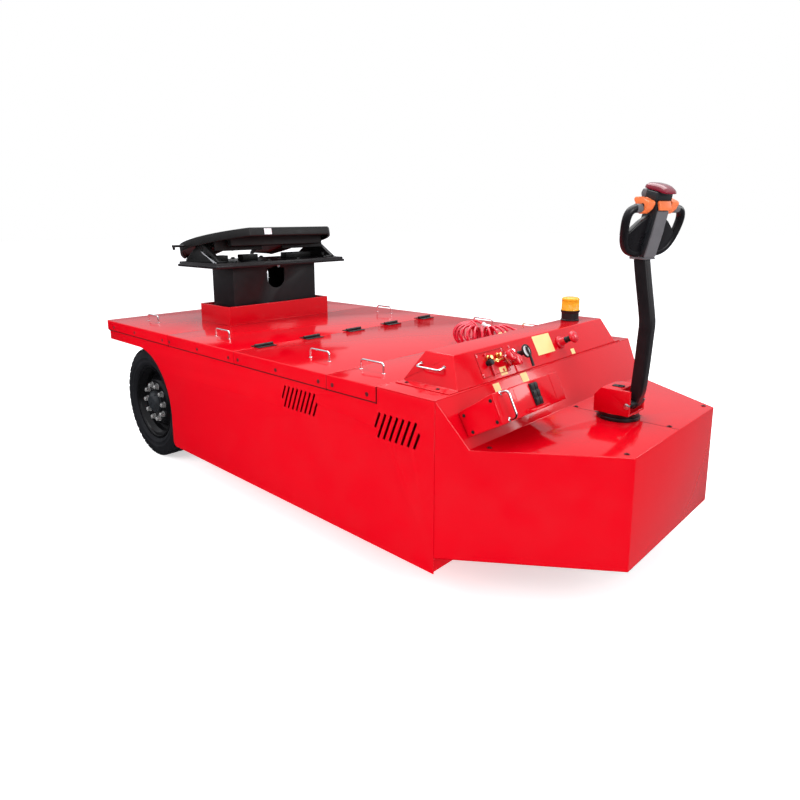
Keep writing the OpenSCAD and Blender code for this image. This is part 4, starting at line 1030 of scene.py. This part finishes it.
head = {  # X, Y and Z are the head's own; a section is its height, back, front and half width
    "core": ((0.0125, -0.036, 0.026, 0.028), (0.03, -0.038, 0.031, 0.032), (0.07, -0.038, 0.033, 0.0335),
             (0.12, -0.037, 0.0335, 0.034), (0.17, -0.036, 0.034, 0.034), (0.2055, -0.036, 0.0335, 0.034),
             (0.2355, -0.036, 0.021, 0.034)),
    "flank": [(-0.030, 0.060), (0.016, 0.120), (0.022, 0.176), (-0.024, 0.190), (-0.033, 0.130)],
    "housing": [(0.021, 0.2375), (0.0235, 0.2445), (0.0215, 0.2735), (-0.030, 0.2735), (-0.030, 0.2375)],
    "housingBack": [(-0.0305, 0.2380), (-0.0305, 0.2735), (-0.0535, 0.2735), (-0.0575, 0.2540),
                    (-0.0480, 0.2380)],
    "stripe": [(0.0330, 0.0135), (0.0375, 0.030), (0.0385, 0.120), (0.0382, 0.2045), (0.0260, 0.2045),
               (0.0260, 0.0100)],
    "foot": [(-0.037, -0.0095), (0.0355, 0.0095), (0.0360, 0.0160), (-0.0375, 0.0130)],
}
bellyButton = {  # X, low, high and half width of each section of the dome
    "sections": (
        (-0.0575, 0.277, 0.2875, 0.024), (-0.054, 0.2745, 0.2935, 0.032), (-0.044, 0.2745, 0.2995, 0.037),
        (-0.026, 0.2745, 0.3022, 0.0385), (-0.004, 0.2745, 0.3025, 0.0385), (0.018, 0.2745, 0.2995, 0.0375),
        (0.034, 0.2720, 0.2925, 0.035), (0.0445, 0.2718, 0.2845, 0.031), (0.0495, 0.2735, 0.2785, 0.024)),
    "waist": 0.004, "points": 24,
}


def makeHead():
    bm = bmesh.new()
    rings = []  # waisted core: wide at the housing, drawn in at the foot
    for z, back, front, half in head["core"]:
        middleX, deep = (back + front) / 2, (front - back) / 2
        rings.append([onHead @ Vector((middleX + a, b, z)) for a, b in cornered(deep, half, 0.010)])
    skin(bm, rings)
    for side in (-1, 1):  # raised facets on the flanks
        prism(bm, head["flank"], 0.0042, upright(onHead, side * 0.0345 - 0.0021), 0.0018)
    prism(bm, head["housing"], 0.087, upright(onHead, -0.0435), 0.005, 3)
    piece("headBody", bm, slatePlastic, "tiller", "tiller_head", 40)
    bm = bmesh.new()
    prism(bm, head["housingBack"], 0.0868, upright(onHead, -0.0434), 0.005, 3)
    prism(bm, head["stripe"], 0.058, upright(onHead, -0.029), 0.0055, 3)
    prism(bm, head["foot"], 0.064, upright(onHead, -0.032), 0.003, 2)
    piece("headStripe", bm, greyPlastic, "tiller", smooth=40)
    print("tiller head moulded")


def makeBellyButton():  # a shallow dome over the housing, its front lip turned down
    bm = bmesh.new()
    rings, waist = [], bellyButton["waist"]
    for x, low, high, half in bellyButton["sections"]:
        ring = []
        for a in circle(bellyButton["points"]):
            y = math.copysign(half * abs(math.cos(a)) ** 0.7, math.cos(a))
            up = math.sin(a)
            rise = (high - low - waist) * abs(up) ** 0.55 if up > 0 else -waist * abs(up) ** 0.4
            ring.append(onHead @ Vector((x, y, low + waist + rise)))
        rings.append(ring)
    skin(bm, rings)
    piece("bellyButton", bm, coverRed, "tiller", smooth=60)


grips = {
    "radius": 0.0165,
    # Y and Z along both loops, from the switches round to the foot
    "near": ((-0.086, 0.207), (-0.112, 0.2065), (-0.136, 0.194), (-0.1445, 0.165), (-0.139, 0.120),
             (-0.128, 0.078), (-0.108, 0.047), (-0.075, 0.030), (-0.036, 0.026)),
    "far": ((0.086, 0.207), (0.114, 0.2065), (0.138, 0.195), (0.148, 0.166), (0.143, 0.122),
            (0.130, 0.080), (0.108, 0.048), (0.075, 0.031), (0.036, 0.027)),
    "web": ((0.0345, 0.030), (0.075, 0.032), (0.104, 0.050), (0.122, 0.080), (0.130, 0.108), (0.074, 0.158),
            (0.0345, 0.182)),
    "highlightSleeve": [(0, 0), (0.0150, 0), (0.0172, 0.002), (0.0176, 0.006), (0.0176, 0.026), (0.0168, 0.029),
               (0, 0.029)],
}


def makeGrips():
    bm, highlightSleeves = bmesh.new(), bmesh.new()
    across = onHead @ Matrix(((0, 0, 1, 0), (1, 0, 0, 0), (0, 1, 0, 0), (0, 0, 0, 1)))  # outline in Y and Z
    for route, side in ((grips["near"], -1), (grips["far"], 1)):
        line = easedPath([onHead @ Vector((0, y, z)) for y, z in route])
        swell = [math.sin(math.pi * min(1, k / (len(line) * 0.7))) for k in range(len(line))]
        rod(bm, line, [grips["radius"] * (0.94 + 0.06 * s) for s in swell], 20)
        prism(bm, [(side * y, z) for y, z in grips["web"]], 0.024, across @ move(0, 0, -0.012), 0.0045, 2)
        # lighter grey sleeve where the upper bar meets the switch: a painted highlight on the grip's top bend
        turned(highlightSleeves, grips["highlightSleeve"], onHead @ spot((0, side * 0.0855, 0.207), (0, side, 0)), 28)
    piece("tillerGrips", bm, gripPlastic, "tiller", "tiller_grips", 50)
    piece("gripHighlightSleeves", highlightSleeves, greyPlastic, "tiller")


switch = {
    "wing": [(-0.0475, 0.2325), (-0.0440, 0.2415), (-0.0360, 0.2455), (-0.0200, 0.2420), (0.0000, 0.2435),
             (0.0180, 0.2425), (0.0280, 0.2375), (0.0295, 0.2290), (0.0220, 0.2100), (0.0120, 0.1935),
             (0.0020, 0.1850), (-0.0080, 0.1850), (-0.0150, 0.1930), (-0.0190, 0.2060), (-0.0260, 0.2160),
             (-0.0400, 0.2230)],
    "wingAt": 0.0645, "wingWide": 0.0385,
    "front": [(0.0375, 0.2072), (0.0430, 0.2090), (0.0425, 0.2180), (0.0315, 0.2415), (0.0262, 0.2428),
              (0.0255, 0.2372), (0.0232, 0.2366)],
}


def makeSwitches():
    bm, hollowShades = bmesh.new(), bmesh.new()
    for side in (-1, 1):
        y = side * switch["wingAt"]
        prism(bm, switch["wing"], switch["wingWide"], upright(onHead, y - switch["wingWide"] / 2), 0.0045, 3)
        turned(bm, [(0, -0.026), (0.0125, -0.026), (0.0125, 0.026), (0, 0.026)],
               onHead @ spot((0, y, 0.207), (0, 1, 0)), 24)
        # thin black discs where the switch sides have hollows: painted shade
        turned(hollowShades, [(0, 0), (0.0088, 0), (0.0088, 0.0006), (0.0062, 0.0002), (0, 0.0001)],
               onHead @ spot((0.004, side * 0.0842, 0.2185), (0, side, 0)), 24)
    prism(bm, switch["front"], 0.062, upright(onHead, -0.031), 0.0022, 3)
    piece("tillerSwitches", bm, orangePlastic, "tiller", "tiller_switches", 50)
    piece("switchHollowShades", hollowShades, blackPlastic, "tiller")


for make in (makeArm, makeTillerBase, makeHead, makeBellyButton, makeGrips, makeSwitches):
    make()

# rear wheels

wheel = {
    "radius": 0.3555, "width": 0.205,
    "wall": [(0.2303, 0.0245), (0.2400, 0.0240), (0.2440, 0.0150), (0.2520, 0.0085), (0.2600, 0.0060),
             (0.2620, 0.0042), (0.2680, 0.0036), (0.2705, 0.0048), (0.2900, 0.0014), (0.2915, 0.0004),
             (0.2960, 0.0004), (0.2975, 0.0014), (0.3090, 0.0016), (0.3120, 0.0030), (0.3230, 0.0046),
             (0.3330, 0.0082), (0.3400, 0.0120)],
    "tread": [(0.3370, 0.0150), (0.3385, 0.0240), (0.3385, 0.0260), (0.3385, 0.0520), (0.3552, 0.0532),
              (0.3552, 0.0560), (0.3460, 0.0572), (0.3460, 0.0648), (0.3553, 0.0660), (0.3553, 0.0920),
              (0.3460, 0.0932), (0.3460, 0.1008)],
    "lugs": 42, "lugWide": 0.037, "lugEdge": (0.0095, 0.052),
    "lug": [(0.3300, 0.0020), (0.3490, 0.0030), (0.3548, 0.0080), (0.3548, 0.0450), (0.3360, 0.0450)],
    "bars": (0.067, 0.1125), "barLong": 0.024,
    "nuts": 10, "nutCircle": 0.1125, "nutFace": 0.167,
    "capRadius": 0.0705, "capScrewCircle": 0.058, "capHeight": 0.0339,
}


def wheelPlace(side):  # own Z outwards from the inner face
    x, z = plan["axle"]
    return spot((x, side * (plan["wheelFace"] - wheel["width"]), z), (0, side, 0))


def makeTyre(side, name, node, body):
    bm = bmesh.new()
    at, w, count = wheelPlace(side), wheel["width"], wheel["lugs"]
    half = wheel["wall"] + wheel["tread"]
    profile = half + [(r, w - h) for r, h in reversed(half)]
    turned(bm, profile + [profile[0]], at, 120)
    flat = spin(90, "X")
    z0, z1 = wheel["lugEdge"][0], w - wheel["lugEdge"][0]
    for k in range(count):  # shoulder blocks on both edges, staggered, and bars between them
        for outline, shift in (([(r, z0 + z) for r, z in wheel["lug"]], 0),
                               ([(r, z1 - z) for r, z in wheel["lug"]], 0.5)):
            lay = at @ spin(360 * (k + shift) / count) @ flat @ move(0, 0, -wheel["lugWide"] / 2)
            prism(bm, outline, wheel["lugWide"], lay, 0.0016, 1)
        for low in wheel["bars"]:
            high = low + wheel["barLong"]
            lay = at @ spin(360 * (k + 0.25) / count) @ flat @ move(0, 0, -0.003)
            prism(bm, [(0.3500, low), (0.3554, low), (0.3554, high), (0.3500, high)], 0.006, lay, 0.001, 1)
    piece(name, bm, tyreRubber, body, node, 42)


def makeRim(side, name, node, body):
    at = wheelPlace(side)
    inverse = at.inverted()
    face = wheel["nutFace"]

    def onCap(centre):
        p = inverse @ centre
        return 1 if math.hypot(p.x, p.y) < wheel["capRadius"] and p.z > face + 0.001 else 0

    rounded(node, name, [rimBlack, slatePlastic], 0.0016, 2, onCap, 34)
    bm = bmesh.new()
    for a in circle(wheel["nuts"]):
        r = wheel["nutCircle"]
        nut = at @ move(r * math.cos(a), r * math.sin(a), face)
        turned(bm, [(0.0185, 0), (0.0192, 0.001), (0.0192, 0.003), (0.0165, 0.0042)], nut, 28)
        turned(bm, [(0.0165, 0.0042), (0.0165, 0.0150), (0.0158, 0.0168), (0.0140, 0.0172)], nut, 6)
        turned(bm, [(0.0140, 0.0172), (0.0138, 0.0215), (0.0120, 0.0258), (0.0080, 0.0285), (0, 0.0295)],
               nut, 18)
    piece(name + "Nuts", bm, nutSteel, body)
    bm = bmesh.new()
    turned(bm, [(0.0455, 0), (0.0440, 0.0022), (0.030, 0.0046), (0.012, 0.0056), (0.0115, 0.0085),
                (0, 0.0092)], at @ move(0, 0, face + wheel["capHeight"]), 36)
    for a in circle(6):
        r = wheel["capScrewCircle"]
        capScrew(bm, at @ move(r * math.cos(a), r * math.sin(a), face + 0.018), 0.0055, 0.0055)
    piece(name + "Cap", bm, slatePlastic, body)


for side, label, body in ((-1, "right", "wheel_right"), (1, "left", "wheel_left")):
    makeTyre(side, label + "Tyre", "tyre_" + label, body)
    makeRim(side, label + "Rim", "rim_" + label, body)
print("rear wheels built")

# drive unit, axle, battery and lift cylinder, as seen from below

for node, name, finish, slotName in (("rear_axle", "rearAxle", greySteel, "grey_steel"),
                                     ("drive_unit", "driveUnit", castGrey, "cast_grey"),
                                     ("drive_hub", "driveHub", castGrey, "cast_grey"),
                                     ("drive_tyre", "driveTyre", solidRubber, "solid_tyre"),
                                     ("battery", "batteryBox", batteryCase, "battery_case"),
                                     ("lift_barrel", "liftBarrel", greySteel, "grey_steel"),
                                     ("lift_rod", "liftRod", chrome, "chrome")):
    rounded(node, name, [finish], 0.003, 2)
print("running gear painted")

# lift column and coupling

coupling = {
    "boltsX": 0.195, "boltsY": 0.405, "rowX": 0.215, "row": (-0.36, -0.12, 0.12, 0.36),
    "stopBolt": (-0.9335, 0.02, 1.212),
    "capFace": 0.480,  # outer face of the trunnion caps
    "rodFoot": (-0.900, 1.2545), "rodTop": (-1.048, 1.322),  # X and Z of the tie rods' ends
    "rodY": 0.494, "rodPitch": (0.026, 0.016, -0.012),  # from one rod to the next: foot X, top X, top Z
}


def makeCoupling():
    for node, name, finish, slotName, radius, steps in (
            ("lift_column", "liftColumn", blackSteelRedBounce, "black_steel", 0.004, 3),
            ("coupling_base", "couplingBase", blackSteelRedBounce, "coupling_iron", 0.0022, 2),
            ("coupling_pedestals", "couplingPedestals", couplingIron, "coupling_iron", 0.0025, 2),
            ("coupling_plate", "couplingPlate", couplingIron, "coupling_iron", 0.0045, 3),
            ("lock_jaws", "lockJaws", castGrey, "coupling_iron", 0.003, 2),
            ("release_handle", "releaseHandle", blackSteelRedBounce, "black_steel", 0.0015, 2)):
        rounded(node, name, [finish], radius, steps)


def makeBolts():
    bm = bmesh.new()
    x, z = plan["column"], plan["baseTop"]
    for side in (-1, 1):
        for y in (-coupling["boltsY"], coupling["boltsY"]):
            hexBolt(bm, spot((x + side * coupling["boltsX"], y, z)), 0.0125, 0.011)
    for y in coupling["row"]:
        for side in (-1, 1):
            hexBolt(bm, spot((x + side * coupling["rowX"], y, z)), 0.0125, 0.011)
    piece("baseBolts", bm, couplingIron, "lift")


def makeTieRods():  # thin rods outside the pedestals, each on its pin
    bm = bmesh.new()
    hexBolt(bm, spot(coupling["stopBolt"], (1, 0, 0)), 0.008, 0.006)
    (footX, footZ), (topX, topZ) = coupling["rodFoot"], coupling["rodTop"]
    footStep, topStep, riseStep = coupling["rodPitch"]
    for side in (-1, 1):
        y = side * coupling["rodY"]
        for k in (0, 1):
            x, z = topX + topStep * k, topZ + riseStep * k
            rod(bm, [(footX + footStep * k, y, footZ), (x, y, z)], 0.0036, 10)
            turned(bm, [(0, 0), (0.005, 0), (0.005, 0.018), (0, 0.0185)],
                   spot((x, y - side * 0.0145, z), (0, side, 0)), 12)
    piece("tieRods", bm, chrome, "lift")


def makeTrunnionCaps():
    bm = bmesh.new()
    x, z = plan["trunnion"]
    for side in (-1, 1):
        at = spot((x, side * coupling["capFace"], z), (0, side, 0))
        hexBolt(bm, at, 0.016, 0.008, False)
        turned(bm, [(0.018, 0), (0.030, 0), (0.031, 0.0015), (0.030, 0.004), (0.016, 0.004)], at, 32)
    piece("trunnionCaps", bm, couplingIron, "lift")


for make in (makeCoupling, makeBolts, makeTieRods, makeTrunnionCaps):
    make()
print("coupling built")

# floor and light

light = {
    "floor": (0.88, 0.88, 0.88),
    "floorGlow": 0.56,
    "lamps": (  # name, place, look at, width, height, watts, seen in the paint
        ("key", (-1.5, -6.0, 3.6), (0.0, 0.0, 0.4), 5.0, 3.0, 215, False),
        ("top", (0.0, 0.5, 5.2), (0.0, 0.0, 0.5), 6.0, 5.0, 310, True),
        ("front", (6.0, -1.6, 3.0), (0.8, 0.0, 0.5), 2.6, 2.2, 100, True),
        ("window", (4.3, 4.0, 2.9), (1.1, -0.5, 0.9), 1.4, 1.1, 34, True),
    ),
    "horizon": (0.42, 0.43, 0.45),
    "zenith": (0.95, 0.96, 1.0),
    "nearGround": (0.004, 0.004, 0.004),
    "farGround": (0.20, 0.20, 0.21),
}


def makeStudio():
    bm = bmesh.new()
    bmesh.ops.create_grid(bm, x_segments=1, y_segments=1, size=60)
    mesh = bpy.data.meshes.new("floor")
    bm.to_mesh(mesh)
    bm.free()
    pale = newFinish("pale floor", light["floor"], 0.9)
    glow = pale.node_tree.nodes["Principled BSDF"].inputs
    glow["Emission Color"].default_value = (1, 1, 1, 1)
    glow["Emission Strength"].default_value = light["floorGlow"]
    varyColour(pale, grain(pale, 0.7, 3), [(0.3, tuple(c * 0.985 for c in light["floor"])),
                                           (0.7, light["floor"])])
    mesh.materials.append(pale)
    floor = addObject("floor", mesh)
    floor.visible_glossy = False  # the paint mirrors the dim far ground, not this white sheet
    for name, place, look, wide, tall, watts, mirrored in light["lamps"]:
        lamp = bpy.data.lights.new(name, "AREA")
        lamp.shape, lamp.size, lamp.size_y, lamp.energy = "RECTANGLE", wide, tall, watts
        obj = addObject(name, lamp)
        obj.visible_glossy = mirrored
        obj.location = place
        obj.rotation_euler = (Vector(look) - Vector(place)).to_track_quat("-Z", "Y").to_euler()
    scene.view_settings.view_transform = "Standard"
    scene.view_settings.look = "None"


def makeSky():
    world = bpy.data.worlds.new("studio")
    scene.world = world
    world.use_nodes = True
    tree = world.node_tree
    sky = tree.nodes["Background"]
    sky.inputs["Strength"].default_value = 1.0
    link = tree.links.new
    coords = tree.nodes.new("ShaderNodeTexCoord")
    split = tree.nodes.new("ShaderNodeSeparateXYZ")
    link(coords.outputs["Generated"], split.inputs["Vector"])
    height = tree.nodes.new("ShaderNodeMapRange")
    height.inputs["From Min"].default_value, height.inputs["From Max"].default_value = -1, 1
    link(split.outputs["Z"], height.inputs["Value"])
    ramps = []
    for ground in (light["nearGround"], light["farGround"]):  # dark below towards -Y, paler towards +Y
        ramp = tree.nodes.new("ShaderNodeValToRGB")
        ramp.color_ramp.elements.new(0.5)
        stops = ((0.46, ground), (0.54, light["horizon"]), (0.85, light["zenith"]))
        for e, (at, colour) in zip(ramp.color_ramp.elements, stops):
            e.position, e.color = at, (*colour, 1)
        link(height.outputs["Result"], ramp.inputs["Fac"])
        ramps.append(ramp)
    across = tree.nodes.new("ShaderNodeMapRange")
    across.inputs["From Min"].default_value, across.inputs["From Max"].default_value = -0.1, 0.7
    link(split.outputs["Y"], across.inputs["Value"])
    blend = tree.nodes.new("ShaderNodeMix")
    blend.data_type = "RGBA"
    link(across.outputs["Result"], blend.inputs[0])
    link(ramps[0].outputs["Color"], blend.inputs[6])
    link(ramps[1].outputs["Color"], blend.inputs[7])
    link(blend.outputs[2], sky.inputs["Color"])
    seen = tree.nodes.new("ShaderNodeLightPath")
    mix = tree.nodes.new("ShaderNodeMixShader")
    white = tree.nodes.new("ShaderNodeBackground")
    white.inputs["Color"].default_value = (1, 1, 1, 1)
    link(seen.outputs["Is Camera Ray"], mix.inputs["Fac"])
    link(sky.outputs["Background"], mix.inputs[1])
    link(white.outputs["Background"], mix.inputs[2])
    link(mix.outputs["Shader"], tree.nodes["World Output"].inputs["Surface"])


makeStudio()
makeSky()
print("studio lit")
